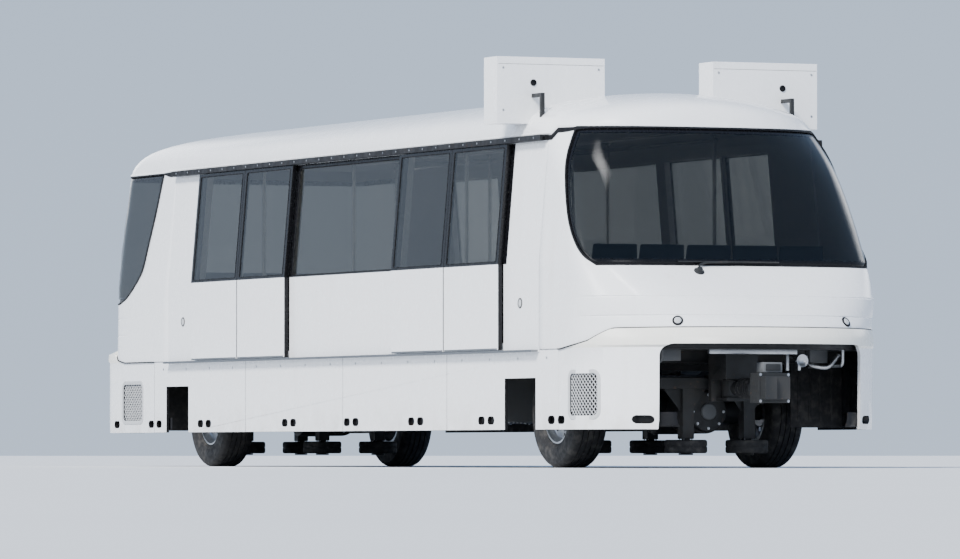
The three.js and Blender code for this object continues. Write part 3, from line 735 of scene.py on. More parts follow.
def lamp_lens(name, color):
    lens = Finish(name, color, 0.08, Transmission_Weight=0.35, IOR=1.45)
    lens.tint(lens.patches(8.0, 4.0, 0.5, 0.8, 0.2), darker(color, 0.6))
    lens.bump(lens.noise(160.0, 1.0), 0.3, 0.001)
    return lens.material


WHITE = coated_paint("white_paint", (0.83, 0.84, 0.85))
BUMPER = coated_paint("bumper_paint", (0.80, 0.79, 0.73), dusty=0.2)
GLASS = glazing("tinted_glass", (0.42, 0.40, 0.36))
SCREEN = glazing("windscreen_glass", (0.27, 0.26, 0.24))
FRIT = plastic("black_glass_border", (0.004, 0.004, 0.005), 0.22, grain=900.0, shine=0.22)
SEAL = rubber("seal_rubber", (0.006, 0.006, 0.007), dusty=0.05)
TYRE = rubber("tyre_rubber", (0.022, 0.022, 0.023), dusty=0.45)
BELLOWS = rubber("bellows_rubber", (0.016, 0.016, 0.017), dusty=0.3)
CHASSIS = chassis_paint("chassis_paint")
# Near-black finish: on the insides of the aprons and skirts it is partly underseal and partly painted shade;
# on the sheets, strips and edges in openings it is painted shade
DARK = chassis_paint("black_underseal_and_painted_shade", (0.006, 0.006, 0.007), dust=0.05)
CASE = chassis_paint("equipment_case", (0.10, 0.105, 0.11), dust=0.45)
# The door track's near-black is partly its own colour and partly painted shadow under the roof's edge
TRACK = chassis_paint("track_black_and_painted_shadow", (0.009, 0.009, 0.010), dust=0.05)
# Grey metal for the side ledge and the foot strips of the leaves; on the ledge its grey is partly painted
# shade under the body's overhang
LEDGE = metal("ledge_metal_and_painted_shade", (0.27, 0.28, 0.29), 0.5, (40, 1, 1))
ALLOY = metal("wheel_alloy", (0.52, 0.53, 0.54), 0.38)
STEEL = metal("brushed_steel", (0.62, 0.62, 0.61), 0.24, (1, 1, 30), wear=0.1)
ZINC = metal("zinc_steel", (0.50, 0.51, 0.52), 0.40)
MESH = plastic("grille_mesh", (0.46, 0.47, 0.48), 0.45)
SEAT = plastic("seat_shell", (0.07, 0.13, 0.20), 0.42)
LINING = plastic("cabin_lining", (0.58, 0.59, 0.58), 0.5)
FLOORING = flecked_floor("floor_vinyl", (0.10, 0.11, 0.125))
DIFFUSER = plastic("light_diffuser", (0.78, 0.79, 0.78), 0.35)
CLEAR_LENS = lamp_lens("clear_lens", (0.72, 0.74, 0.76))
RED_LENS = lamp_lens("red_lens", (0.45, 0.02, 0.015))


# Places on the shells: a share of the way round one end, from the right side over the tip to the left

@functools.lru_cache(maxsize=None)
def plan(level, end, z, x_from, inset):
    """Plan outline of one end at a height, with the distance along it at each point"""
    points = outline(level(z), end, x_from, inset)
    return points, lengths(points)


def place_at(level, end, z, x_from, share, inset=0.0):
    points, along = plan(level, end, round(z, 5), x_from, inset)
    mark = share * along[-1]
    return float(np.interp(mark, along, points[:, 0])), float(np.interp(mark, along, points[:, 1]))


def on_end(end, level, y, z, out=0.0):
    """Point on the end surface at a place across the car, out beyond the surface"""
    return Vector((ENDS[end] * reach_at(level(z), end, y, -out), y, z))


def end_normal(end, level, y, z, step=0.01):
    across = on_end(end, level, y + step, z) - on_end(end, level, y - step, z)
    upward = on_end(end, level, y, z + step) - on_end(end, level, y, z - step)
    return across.cross(upward).normalized() * ENDS[end]


def clear_path(path):
    """A path without repeated points"""
    points = []
    for point in map(Vector, path):
        if not points or (point - points[-1]).length > 1e-4:
            points.append(point)
    if (points[0] - points[-1]).length < 1e-4:
        points.pop()
    return points


# Nose caps and windscreens

SIDE_CELLS = 9
SCREEN_CELLS = 56
SCREEN_ROWS = 34
BORDER = 0.055
GLASS_INSET = 0.004
PANEL_THICK = 0.045
PANEL_GAP = 0.003
NOSE_FROM = NOSE_SPLIT_X + 0.0025
MASK_LINES = (1.330, 1.500)          # pressed lines across the mask
GROOVE_DEPTH = 0.005
GROOVE_HALF = 0.004
GROOVE_FADE = {"front": (5.30, 5.55), "rear": (5.60, 5.80)}
JOINT_CLEARANCE = 0.001
NOSE_COLUMNS = 2 * SIDE_CELLS + SCREEN_CELLS + 1


def nose_columns(points, x_edge):
    """Outline points split at the windscreen's side edges: side strip, screen, side strip"""
    total = lengths(points)[-1]
    edge = distance_at_x(points, x_edge)
    return [resampled(points, 0.0, edge, SIDE_CELLS),
            resampled(points, edge, total - edge, SCREEN_CELLS, BORDER),
            resampled(points, total - edge, total, SIDE_CELLS)]


@functools.lru_cache(maxsize=None)
def nose_row(end, z, x_edge, inset=0.0):
    """Every column's point on the body at one height"""
    left, screen, right = nose_columns(outline(body_level(z), end, NOSE_FROM, inset), x_edge)
    return np.vstack([left, screen[1:], right[1:]])


def mask_steps(low, high):
    """Heights up the mask as (z, groove depth), with each pressed line as a shallow groove"""
    steps = []
    bottom = low
    for line in MASK_LINES:
        steps += [(z, 0.0) for z in np.linspace(bottom, line - 2 * GROOVE_HALF, 4)]
        steps += [(line - GROOVE_HALF, GROOVE_DEPTH), (line + GROOVE_HALF, GROOVE_DEPTH)]
        bottom = line + 2 * GROOVE_HALF
    return steps + [(z, 0.0) for z in np.linspace(bottom, high, 9)[:-1]]


def screen_heights(end):
    """Heights of the rows over the glass, closer together low down"""
    _, edge_z = screen_edge(end)
    low, high = edge_z[0], edge_z[-1]
    inner = low + BORDER + (high - low - 2 * BORDER) * np.linspace(0, 1, SCREEN_ROWS - 1) ** 1.25
    return np.concatenate([[low], inner, [high]])


def nose_mask(end, top):
    """Rows from the crease up to the glass"""
    direction = ENDS[end]
    corner = screen_edge_x(end, top)
    foot = nose_row(end, crease_z(end, 6.0), corner)
    crease = [crease_z(end, x) + PANEL_GAP for x, _ in foot]
    first_line = MASK_LINES[0] - 2 * GROOVE_HALF
    rows = []
    for z, depth in mask_steps(max(crease), top):
        row = []
        for j in range(NOSE_COLUMNS):
            share = min(1.0, (z - max(crease)) / (first_line - max(crease)))
            height = z if share == 1.0 else crease[j] + (first_line - crease[j]) * share
            x, y = nose_row(end, round(height, 5), corner)[j]
            if depth:
                deep_x, deep_y = nose_row(end, round(height, 5), corner, depth)[j]
                share = ease(x, *GROOVE_FADE[end])
                x, y = x + (deep_x - x) * share, y + (deep_y - y) * share
            row.append((direction * x, y, height))
        rows.append(row)
    return rows


def nose_sides(end, heights):
    """Rows past the glass; the columns beside it go up to the joint under the roof"""
    low, high = heights[0], heights[-1]
    rows = []
    for z in heights:
        x_edge = screen_edge_x(end, z)
        row = []
        for j, (x, y) in enumerate(nose_row(end, z, x_edge)):
            height = z
            if not SIDE_CELLS < j < NOSE_COLUMNS - 1 - SIDE_CELLS:
                height = round(low + (joint_z(end, x) - low) * ((z - low) / (high - low)), 5)
                x, y = nose_row(end, height, x_edge)[j]
                height -= JOINT_CLEARANCE
            row.append((ENDS[end] * x, y, height))
        rows.append(row)
    return rows


def make_nose(end):
    heights = screen_heights(end)
    mask = nose_mask(end, heights[0])

    def in_screen(i, j):
        return i >= len(mask) and SIDE_CELLS <= j < SIDE_CELLS + SCREEN_CELLS

    shell = grid(mask + nose_sides(end, heights), skip=in_screen)
    piece(f"{end}_nose_panel", [(shell, WHITE)], thick=PANEL_THICK, bevel=0.002,
          replaces=[f"{end}_nose_cap"], lining=LINING)


def make_windscreen(end):
    """Bent glass with a black border, and the seal round it"""
    rows = []
    for z in screen_heights(end):
        inner = outline(body_level(z), end, NOSE_FROM, GLASS_INSET)
        points = nose_columns(inner, screen_edge_x(end, z))[1]
        rows.append([(ENDS[end] * x, y, z) for x, y in points])

    def at_rim(i, j):
        return i in (0, SCREEN_ROWS - 1) or j in (0, SCREEN_CELLS - 1)

    pane = grid(rows, skip=at_rim)
    border = grid(rows, skip=lambda i, j: not at_rim(i, j))
    piece(f"{end}_windscreen_glass", [(pane, SCREEN), (border, FRIT)], thick=0.014,
          replaces=[f"{end}_windscreen"])
    rim = [row[0] for row in reversed(rows)] + rows[0]
    rim += [row[-1] for row in rows] + rows[-1][::-1]
    piece(f"{end}_windscreen_seal", [(tube(clear_path(rim), 0.011, 8, closed=True), SEAL)])


# Roof, with a white rim and a dark band of painted shadow along its joint

ROOF_ROWS = 26
ROOF_CELLS = 60
ROOF_SIDE_CELLS = 12
ROOF_RIM_RADIUS = 0.013
# Edges of the dark band along the roof's joint, a flat strip that is painted shadow under the rim
JOINT_SHADOW_BAND = ((-0.002, -0.002), (-0.002, 0.005), (-0.048, 0.005), (-0.048, -0.002))    # lift, out


def roof_loop(row, end):
    """Outline of one end from the middle of the car, with the straight side split from the curve"""
    points = outline(row, end, 0.0, 0.0, 400)
    total = lengths(points)[-1]
    bend = distance_at_x(points, min(end_curve(row, end)[1], 4.3) * 0.98)
    return np.vstack([resampled(points, 0.0, bend, ROOF_SIDE_CELLS)[:-1],
                      resampled(points, bend, total - bend, ROOF_CELLS),
                      resampled(points, total - bend, total, ROOF_SIDE_CELLS)[1:]])


def roof_share(z):
    """Share of the way over the roof at a height near its lower edge"""
    return float(np.interp(z, *np.array([[roof_level(t)[0], t] for t in np.linspace(0, 0.3, 60)]).T))


def roof_ring(rise, lowest):
    """One ring of the roof; lowest gives each column's first share on both ends"""
    ring = []
    for end, direction in ENDS.items():
        loops = {}
        part = []
        for j, base in enumerate(lowest[end]):
            t = round(base + (1 - base) * rise, 6)
            if t not in loops:
                row = roof_level(t)
                loops[t] = (row[0], roof_loop(row, end))
            z, points = loops[t]
            part.append((direction * points[j][0], points[j][1], z))
        ring += part if direction > 0 else part[::-1][1:-1]
    return ring


def make_roof():
    lowest = {}
    for end in ENDS:
        places = roof_loop(roof_level(0.15), end)
        lowest[end] = [roof_share(joint_z(end, x) + 0.002) for x, _ in places]
    rows = [roof_ring(rise, lowest) for rise in np.linspace(0, 1, ROOF_ROWS + 1)]
    points, faces = grid(rows, closed=True)
    count = len(rows[0])
    faces.append(tuple(range(len(points) - count, len(points))))
    piece("roof_panel", [((points, faces), WHITE)], thick=0.05, bevel=0.002, sharp=50,
          replaces=["roof_shell"], lining=LINING)


def joint_ring(lift, out):
    """Closed path round the car along the joint under the roof; a lift shrinks over the windscreens"""
    path = []
    for end, direction in ENDS.items():
        part = []
        for share in np.linspace(0, 1, 260):
            x, _ = place_at(body_level, end, 3.0, 0.0, share)
            z = joint_z(end, x) + lift * (1 - 0.65 * ease(x, 4.60, 4.85))
            x, y = place_at(body_level, end, z, 0.0, share, -out)
            part.append((direction * x, y, z))
        path += part if direction > 0 else part[::-1]
    return clear_path(path)


def make_joint_trim():
    piece("roof_rim", [(tube(joint_ring(0.014, -0.003), ROOF_RIM_RADIUS, 8, closed=True), WHITE)])
    rings = [joint_ring(lift, out) for lift, out in JOINT_SHADOW_BAND]
    # A near-black band under the rim: painted shadow along the roof's joint
    piece("roof_joint_shadow_band", [(grid(rings + rings[:1], closed=True), SEAL)])
    for end, direction in ENDS.items():
        path = []
        for share in np.linspace(0, 1, 140):
            x, _ = place_at(body_level, end, 1.15, APRON_SPLIT_X, share)
            z = crease_z(end, x)
            x, y = place_at(body_level, end, z, APRON_SPLIT_X, share, -0.001)
            path.append((direction * x, y, z))
        piece(f"{end}_crease_seal", [(tube(path, 0.006, 8), SEAL)])


# End aprons with the coupler bay, mesh grilles and the bumper strip

APRON_CELLS = 96
APRON_FROM = APRON_SPLIT_X + 0.0025
APRON_HEIGHTS = (0.340, 0.352, 0.420, 0.640, 0.860, 1.055, 1.075, 1.100, 1.140, 1.160, 1.180, 1.215, 1.250)
BUMPER_FROM_Z = 1.060                # painted as the bumper strip from here up
GRILLE_CORNER = 0.05
BAY_CUT_X = (5.4, 6.6)
BAY_BOTTOM_Z = 0.10
BAY_CORNER = 0.10
MESH_PITCH = 0.034
MESH_INSET = 0.014
WIRE_RADIUS = 0.0042
GRILLE_FLANGE = 0.036
BACKING_THICK = 0.003
# Near-black sheets behind the grilles and the drain holes: painted shade for the space behind the openings
SHADE_SHEET_MARGIN = 0.04
SHADE_SHEET_INSET = 0.046
DRAIN_BACK_INSET = 0.043
DRAIN_BACK_Z = (0.36, 0.49)
DRAIN_BACK_SPANS = ((4.52, 5.09), (5.70, 6.10))      # x of the dark sheets behind the holes near an end


def apron_rows(end, inset):
    rows = []
    for z in APRON_HEIGHTS:
        row = []
        for share in np.linspace(0, 1, APRON_CELLS + 1):
            x, _ = place_at(apron_level, end, 1.0, APRON_FROM, share)
            height = round(min(z, crease_z(end, x) - PANEL_GAP), 5)
            x, y = place_at(apron_level, end, height, APRON_FROM, share, inset)
            row.append((ENDS[end] * x, y, height))
        rows.append(row)
    return rows


def drain_outline(x):
    length, height = DRAIN_SIZE
    return rounded_rectangle(x - length / 2, x + length / 2, DRAIN_Z - height / 2, DRAIN_Z + height / 2,
                             height / 2 - 1e-4, 8)


def drain_places(end):
    """Drain holes in one end's apron"""
    direction = ENDS[end]
    holes = [x + step for x in DRAIN_PAIRS_X for step in (-DRAIN_SPACING / 2, DRAIN_SPACING / 2)]
    holes += list(DRAIN_ENDS_X)
    return [x for x in holes if x * direction > APRON_SPLIT_X - DRAIN_SIZE[0] / 2]


def apron_cutters(end):
    """Openings of the coupler bay, the grilles and the drain holes"""
    direction = ENDS[end]
    bay = rounded_rectangle(-BAY_HALF_WIDTH, BAY_HALF_WIDTH, BAY_BOTTOM_Z, BAY_TOP_Z, BAY_CORNER)
    holes = [rounded_rectangle(*span(direction, *GRILLE_X[end]), *GRILLE_Z, GRILLE_CORNER)]
    holes += [drain_outline(x) for x in drain_places(end)]
    cutters = [prism(bay, "x", *span(direction, *BAY_CUT_X))]
    for side in SIDES.values():
        cutters += [prism(hole, "y", *span(side, BAY_HALF_WIDTH + 0.005, 1.6)) for hole in holes]
    return cutters


def make_apron(end):
    outer, inner = apron_rows(end, 0.0), apron_rows(end, APRON_THICK)
    rows = outer + inner[::-1]
    points, faces = grid(rows + [outer[0]])
    count = APRON_CELLS + 1
    for j, turn in ((0, 1), (APRON_CELLS, -1)):
        faces.append(tuple(i * count + j for i in range(len(rows)))[::turn])
    obj = piece(f"{end}_apron_panel", [((points, faces), WHITE)], replaces=[f"{end}_apron"])
    cut(obj, apron_cutters(end), bevel=0.003)

    def face_material(center, normal):
        """Dark inside, partly underseal and partly painted shade in the bay and the holes; the cut faces
        count as outside, and they are deeper round the bay
        """
        at_bay = center.z > 0.9 or abs(abs(center.y) - BAY_HALF_WIDTH) < 0.01
        depth = 0.030 if at_bay or center.z < 0.345 else 0.010
        half = half_width_at(apron_level(center.z), end, abs(center.x), depth)
        ahead = reach_at(apron_level(center.z), end, center.y, depth)
        if abs(center.y) < half and abs(center.x) < ahead:
            return 2
        return 1 if center.z > BUMPER_FROM_Z else 0

    repaint(obj, [WHITE, BUMPER, DARK], face_material)


def apron_point(end, side, x, z, inset):
    return (ENDS[end] * x, side * half_width_at(apron_level(z), end, x, inset), z)


def grille_lattice(end, side):
    """Diagonal wires both ways across a grille opening, following the apron's curve"""
    (x0, x1), (z0, z1) = GRILLE_X[end], GRILLE_Z
    wires = []
    for slope in (1, -1):
        ends = (z0 - slope * x0, z0 - slope * x1, z1 - slope * x0, z1 - slope * x1)
        step = MESH_PITCH * math.sqrt(2)
        for offset in np.arange(min(ends) + step / 2, max(ends), step):
            reach = sorted(((z0 - offset) / slope, (z1 - offset) / slope))
            start, stop = max(x0, reach[0]), min(x1, reach[1])
            if stop - start < 0.02:
                continue
            path = [apron_point(end, side, x, slope * x + offset, MESH_INSET)
                    for x in np.linspace(start, stop, 9)]
            wires.append(tube(path, WIRE_RADIUS, 6))
    return joined(wires)


def backing(end, side, x_range, z_range, inset):
    """Near-black sheet that closes an opening from behind, following the apron's curve; it is painted shade
    for the space behind the opening
    """
    rows = [[apron_point(end, side, x, z, inset) for x in np.linspace(*x_range, 9)]
            for z in np.linspace(*z_range, 7)]
    return grid(rows)


def grille_frame(end, side):
    """Flange round a grille opening: it closes on itself through its outer face and its back"""
    (x0, x1), (z0, z1) = GRILLE_X[end], GRILLE_Z
    loops = []
    for grow, inset in ((0.001, 0.010), (-0.001, -0.003), (0.006, -0.006), (GRILLE_FLANGE - 0.004, -0.006),
                        (GRILLE_FLANGE, -0.003), (GRILLE_FLANGE, 0.001), (0.001, 0.001)):
        corner = GRILLE_CORNER + grow
        loops.append([apron_point(end, side, x, z, inset)
                      for x, z in rounded_rectangle(x0 - grow, x1 + grow, z0 - grow, z1 + grow, corner, 8)])
    return grid(loops + loops[:1], closed=True)


def make_grilles():
    for end in ENDS:
        (x0, x1), (z0, z1) = GRILLE_X[end], GRILLE_Z
        shade_sheet_x = (x0 - SHADE_SHEET_MARGIN, x1 + SHADE_SHEET_MARGIN)
        shade_sheet_z = (z0 - SHADE_SHEET_MARGIN, z1 + SHADE_SHEET_MARGIN)
        for name, side in SIDES.items():
            mesh = joined([grille_lattice(end, side), grille_frame(end, side)])
            shade_sheet = backing(end, side, shade_sheet_x, shade_sheet_z, SHADE_SHEET_INSET)
            sheets = joined([backing(end, side, x, DRAIN_BACK_Z, DRAIN_BACK_INSET) for x in DRAIN_BACK_SPANS])
            piece(f"{end}_grille_{name}", [(mesh, MESH)])
            piece(f"{end}_grille_duct_{name}", [(shade_sheet, DARK)], thick=BACKING_THICK)
            piece(f"{end}_drain_backs_{name}", [(sheets, DARK)], thick=BACKING_THICK)


for end in ENDS:
    make_nose(end)
    make_windscreen(end)
    make_apron(end)
make_roof()
make_joint_trim()
make_grilles()


# CAD nodes that stay

def wall_face(center, normal):
    outside = abs(center.y) - wall_y(center.z)
    # Ledge faces: grey, partly painted shade under the overhang
    if center.z < LEDGE_Z + 0.002 and outside > 0:
        return 2
    # Door track faces: near-black, partly painted shadow under the roof's edge
    if center.z > 2.908 and outside > 0.004:
        return 1
    return 3 if outside < -0.055 else 0


def skirt_face(center, normal):
    # Inner faces and the edges of the slots and holes are near-black: partly underseal, partly painted shade
    # so the openings read dark
    return 1 if abs(center.y) < SKIRT_Y - 0.005 else 0


def leaf_face(center, normal):
    inside = abs(center.y) < wall_y(center.z) + 0.02
    if inside:
        return 2
    return 1 if normal.x > 0.9 or center.z > WAIST_Z + 0.002 else 0


def roof_box_face(center, normal):
    return 1 if center.x > ROOF_BOX_FACE_X + 0.002 else 0


for side in SIDES:
    kept(f"side_wall_{side}", [WHITE, TRACK, LEDGE, LINING], wall_face, bevel=0.003)
    kept(f"side_window_{side}", [GLASS])
    kept(f"skirt_{side}", [WHITE, DARK], skirt_face, bevel=0.003)
    kept(f"roof_box_{side}", [WHITE, CHASSIS], roof_box_face, bevel=0.010)
for end in ENDS:
    kept(f"{end}_bogie_frame", [CHASSIS], bevel=0.008)
    kept(f"{end}_drive_axle", [CHASSIS], bevel=0.008)
    kept(f"{end}_coupler", [CHASSIS], bevel=0.008)
    for side in SIDES:
        for leaf in ("inner", "outer"):
            kept(f"door_{end}_{side}_{leaf}_leaf", [WHITE, FRIT, LINING], leaf_face, bevel=0.003)
            kept(f"door_{end}_{side}_{leaf}_pane", [GLASS])
kept("underframe", [CHASSIS], bevel=0.004)
for box in ("traction_box", "auxiliary_box"):
    kept(box, [CASE], bevel=0.008)


# Trim of the side walls, doors and windows

SURROUND_PROUD = 0.0025
# The black strips run on behind the leaves, where they are painted shade in the gap between each leaf and the
# wall
SURROUND_X = (1.2355, 1.4100)        # from the fixed window to the doorway, partly behind the inner leaf
OUTER_STRIP_X = (3.6300, 3.8030)     # past the doorway, partly behind the outer leaf
SURROUND_TOP_Z = 2.9085
HIDDEN_Z = (1.1200, 1.8235)          # lower strips, seen only in the gap behind a leaf
LEAF_END_X = (1.3000, 3.7400)
LEAF_SEAL_Z = (1.060, 1.822)         # rubber where two leaves meet
LEAF_FOOT_Z = (1.058, 1.072)         # bright strip along a leaf's lower edge
SIDE_LIGHT_PLACES = ((4.10, 1.47), (-4.09, 1.445))
SKIRT_SEAMS_X = (-2.45, 0.0, 2.45)
SKIRT_SEAM_Z = (0.343, 1.046)
SKIRT_FASTENER_Z = 0.975
TRACK_SCREW_Z = 2.937
LID_Z = 3.615
BRACKET_EYE_Z = 3.45


def make_window_trim(name, side):
    """Black strips round the fixed window and beside the doorways, which run on behind the leaves as painted
    shade in the gaps, and the window's gasket
    """
    low_z = WAIST_Z + 0.0015
    inner, outer = SURROUND_X
    bands = [((low_z, WINDOW_Z[0] - 0.0005), (-inner, inner)),
             ((WINDOW_Z[1] + 0.0005, SURROUND_TOP_Z), (-inner, inner))]
    for direction in ENDS.values():
        bands += [((low_z, SURROUND_TOP_Z), span(direction, inner, outer)),
                  ((low_z, SURROUND_TOP_Z), span(direction, *OUTER_STRIP_X)),
                  (HIDDEN_Z, span(direction, LEAF_END_X[0] + 0.001, outer)),
                  (HIDDEN_Z, span(direction, OUTER_STRIP_X[0], LEAF_END_X[1] - 0.001))]
    strips = [wall_strip(side, -0.001, SURROUND_PROUD, heights, spans) for heights, spans in bands]
    piece(f"window_surround_{name}", [(strip, FRIT) for strip in strips], bevel=0.0006)
    gasket = wall_frame(side, 0.0, (-WINDOW_HALF_LENGTH, WINDOW_HALF_LENGTH), WINDOW_Z, 0.012)
    piece(f"window_gasket_{name}", [(tube(gasket, 0.006, 8, closed=True), SEAL)])


def make_leaf_trim(end, name, leaf):
    """Pane gasket, meeting edge and foot strip of one door leaf"""
    side, direction = SIDES[name], ENDS[end]
    sign = 1 if leaf == "outer" else -1
    near, far = DOOR_X + sign * 0.003, DOOR_X + sign * LEAF_WIDTH

    def inside(near_inset, far_inset):
        return span(direction, near + sign * near_inset, far - sign * far_inset)

    body = f"door_{end}_{name}_{leaf}"
    gasket = wall_frame(side, LEAF_PROUD - 0.001, inside(PANE_FRAME, PANE_FRAME), PANE_Z, 0.02)
    edge = span(direction, near + sign * 0.001, near + sign * 0.005)
    back = LEAF_PROUD - LEAF_THICK + 0.004
    piece(f"{body}_trim", [
        (tube(gasket, 0.005, 8, closed=True), SEAL),
        (wall_strip(side, back, LEAF_PROUD + 0.0015, LEAF_SEAL_Z, edge), SEAL),
        (wall_strip(side, LEAF_PROUD - 0.001, LEAF_PROUD + 0.003, LEAF_FOOT_Z, inside(0.02, 0.02)), LEDGE),
    ], body=body, bevel=0.0005)


def make_side_lights(name, side):
    ring = [(0.034, 0.0), (0.047, 0.0), (0.047, 0.005), (0.043, 0.008), (0.036, 0.008)]
    dome = [(0.035, 0.0), (0.035, 0.005), (0.030, 0.0075), (0.015, 0.009)]
    parts = []
    for x, z in SIDE_LIGHT_PLACES:
        place = (x, side * (HALF_WIDTH - 0.002), z)
        parts += [(lathe(ring, place, (0, side, 0), 40), CHASSIS),
                  (lathe(dome, place, (0, side, 0), 40, capped=True), CLEAR_LENS)]
    piece(f"side_lights_{name}", parts)


def make_skirt_trim(name, side):
    """Joints between the skirt panels, their fasteners, and screws along the door track"""
    seam_y = (SKIRT_Y - 0.002, SKIRT_Y + 0.0006)
    parts = [(mirrored_box(1, side, (x - 0.003, x + 0.003), seam_y, SKIRT_SEAM_Z, 0.0004), SEAL)
             for x in SKIRT_SEAMS_X]
    stud = [(0.013, -0.001), (0.013, 0.0012), (0.009, 0.002)]
    studs = [lathe(stud, (x, side * SKIRT_Y, SKIRT_FASTENER_Z), (0, side, 0), 16, capped=True)
             for x in np.arange(-4.65, 4.7, 0.62)]
    screws = [(x, side * TRACK_Y, TRACK_SCREW_Z) for x in np.arange(-4.34, 4.4, 0.31)]
    parts += [(joined(studs), ZINC), (bolts(screws, (0, side, 0), 0.007, 0.004), ZINC)]
    piece(f"side_fasteners_{name}", parts)


def make_drain_backs(name, side):
    """Near-black boxes behind the skirt's oval holes, as painted shade in the holes"""
    holes = [x for x in DRAIN_PAIRS_X if abs(x) < APRON_SPLIT_X - 0.2]
    across = (1.350, SKIRT_Y - SKIRT_THICK - 0.0005)
    piece(f"skirt_hole_shade_{name}",
          [(mirrored_box(1, side, (x - 0.27, x + 0.27), across, (0.365, 0.485), 0.006), DARK) for x in holes])


def make_roof_box_trim(name, side):
    """Lid joint, corner screws, and a dark eye on the front face of a roof box"""
    face_x, back_x = ROOF_BOX_FACE_X, ROOF_BOX_BACK_X
    across = span(side, 0.5425, 1.5975)
    lid = [(x, y, LID_Z) for x, y in rounded_rectangle(back_x + 0.0025, face_x - 0.0015, *across, 0.012)]
    eye = [(0.0215, 0.0), (0.030, 0.0), (0.030, 0.006), (0.026, 0.009), (0.0215, 0.009)]
    pupil = [(0.021, 0.0), (0.021, 0.004), (0.012, 0.0065)]
    place = (face_x, side * BRACKET_Y, BRACKET_EYE_Z)
    screws = [(face_x, side * y, z) for y in (0.60, 1.54) for z in (3.20 + (0.08 if y < 1 else 0), 3.58)]
    piece(f"roof_box_trim_{name}", [
        (tube(lid, 0.0025, 6, closed=True), SEAL),
        (lathe(eye, place, (1, 0, 0), 32), SEAL),
        (lathe(pupil, place, (1, 0, 0), 32, capped=True), FRIT),
        (bolts(screws, (1, 0, 0), 0.008, 0.004), ZINC),
        (bolts([(back_x, y, z) for _, y, z in screws], (-1, 0, 0), 0.008, 0.004), ZINC),
    ])


for side_name, side_value in SIDES.items():
    make_window_trim(side_name, side_value)
    make_side_lights(side_name, side_value)
    make_skirt_trim(side_name, side_value)
    make_drain_backs(side_name, side_value)
    make_roof_box_trim(side_name, side_value)
    for end in ENDS:
        for leaf in ("inner", "outer"):
            make_leaf_trim(end, side_name, leaf)


# Lamps on the masks and the wiper under the front glass

LAMP_Y = 0.82
LAMP_Z = 1.285
LAMP_RADIUS = 0.042
LAMP_LENSES = {"front": CLEAR_LENS, "rear": RED_LENS}
SPINDLE_Y = -0.45
SPINDLE_Z = 1.725
BLADE_Z = 1.812
BLADE_Y = (-0.62, 0.36)
BOW_STEPS = 12


def make_lamps(end):
    ring = [(LAMP_RADIUS - 0.010, -0.02), (LAMP_RADIUS + 0.006, -0.02), (LAMP_RADIUS + 0.006, 0.004),
            (LAMP_RADIUS + 0.001, 0.009), (LAMP_RADIUS - 0.008, 0.010)]
    dome = [(LAMP_RADIUS - 0.0095, -0.018), (LAMP_RADIUS - 0.0095, 0.006), (LAMP_RADIUS - 0.014, 0.011),
            (LAMP_RADIUS - 0.026, 0.014), (0.006, 0.0155)]
    for name, side in SIDES.items():
        place = on_end(end, body_level, side * LAMP_Y, LAMP_Z)
        normal = end_normal(end, body_level, side * LAMP_Y, LAMP_Z)
        piece(f"{end}_lamp_{name}", [(lathe(ring, place, normal, 40), SEAL),
                                     (lathe(dome, place, normal, 40, capped=True), LAMP_LENSES[end])])


def make_wiper():
    """Boss on the mask, bent arm, and a blade with a bow over it"""
    def over(y, z, out):
        return on_end("front", body_level, y, z, out)

    foot = on_end("front", body_level, SPINDLE_Y, SPINDLE_Z)
    normal = end_normal("front", body_level, SPINDLE_Y, SPINDLE_Z)
    boss = [(0.048, -0.01), (0.048, 0.004), (0.038, 0.012), (0.030, 0.016), (0.026, 0.034), (0.018, 0.040)]
    elbow = [foot + normal * 0.026, over(SPINDLE_Y + 0.02, SPINDLE_Z + 0.06, 0.030),
             over(SPINDLE_Y + 0.10, BLADE_Z - 0.006, 0.034), over(SPINDLE_Y + 0.30, BLADE_Z, 0.034)]
    along = np.linspace(*BLADE_Y, 24)
    rubber_edge = [over(y, BLADE_Z, 0.009) for y in along]
    spine = [over(y, BLADE_Z, 0.020) for y in along]
    bow_y = np.linspace(BLADE_Y[0] + 0.08, BLADE_Y[1] - 0.08, BOW_STEPS + 1)
    bow = [over(y, BLADE_Z, 0.022 + 0.012 * math.sin(math.pi * k / BOW_STEPS)) for k, y in enumerate(bow_y)]
    piece("front_wiper", [
        (lathe(boss, foot, normal, 32, capped=True), CHASSIS),
        (tube(rounded_path(elbow, 0.03), 0.010, 10), CHASSIS),
        (tube(rubber_edge, 0.0055, 8), SEAL),
        (tube(spine, 0.0065, 8), CHASSIS),
        (tube(bow, 0.005, 8), CHASSIS),
    ])


for end in ENDS:
    make_lamps(end)
make_wiper()


# Cabin, seen through the glass

CABIN_INSET = 0.065
UPSTAND_HEIGHTS = (1.045, 1.10, 1.16, 1.22, 1.28)    # sheet that closes the nose above the floor's edge
UPSTAND_INSET = 0.052
CEILING_Z = (3.050, 3.062)
CEILING_INSET = 0.056
LIGHT_STRIP_Y = (0.38, 0.52)
LIGHT_STRIP_HALF_LENGTH = 4.1
BENCHES = {"front": (4.56, 5.06), "rear": (-5.00, -5.50)}    # x of the front edge and of the back
BENCH_BEAM_Y = (-1.12, 1.12)
BENCH_BEAM_Z = (1.43, 1.47)
SEAT_COUNT = 5
SEAT_PITCH = 0.46
SEAT_Z = 1.50
RAIL_Y = 0.72
RAIL_Z = 2.98
RAIL_RADIUS = 0.018
POLE_X = (-3.65, -1.35, 1.35, 3.65)


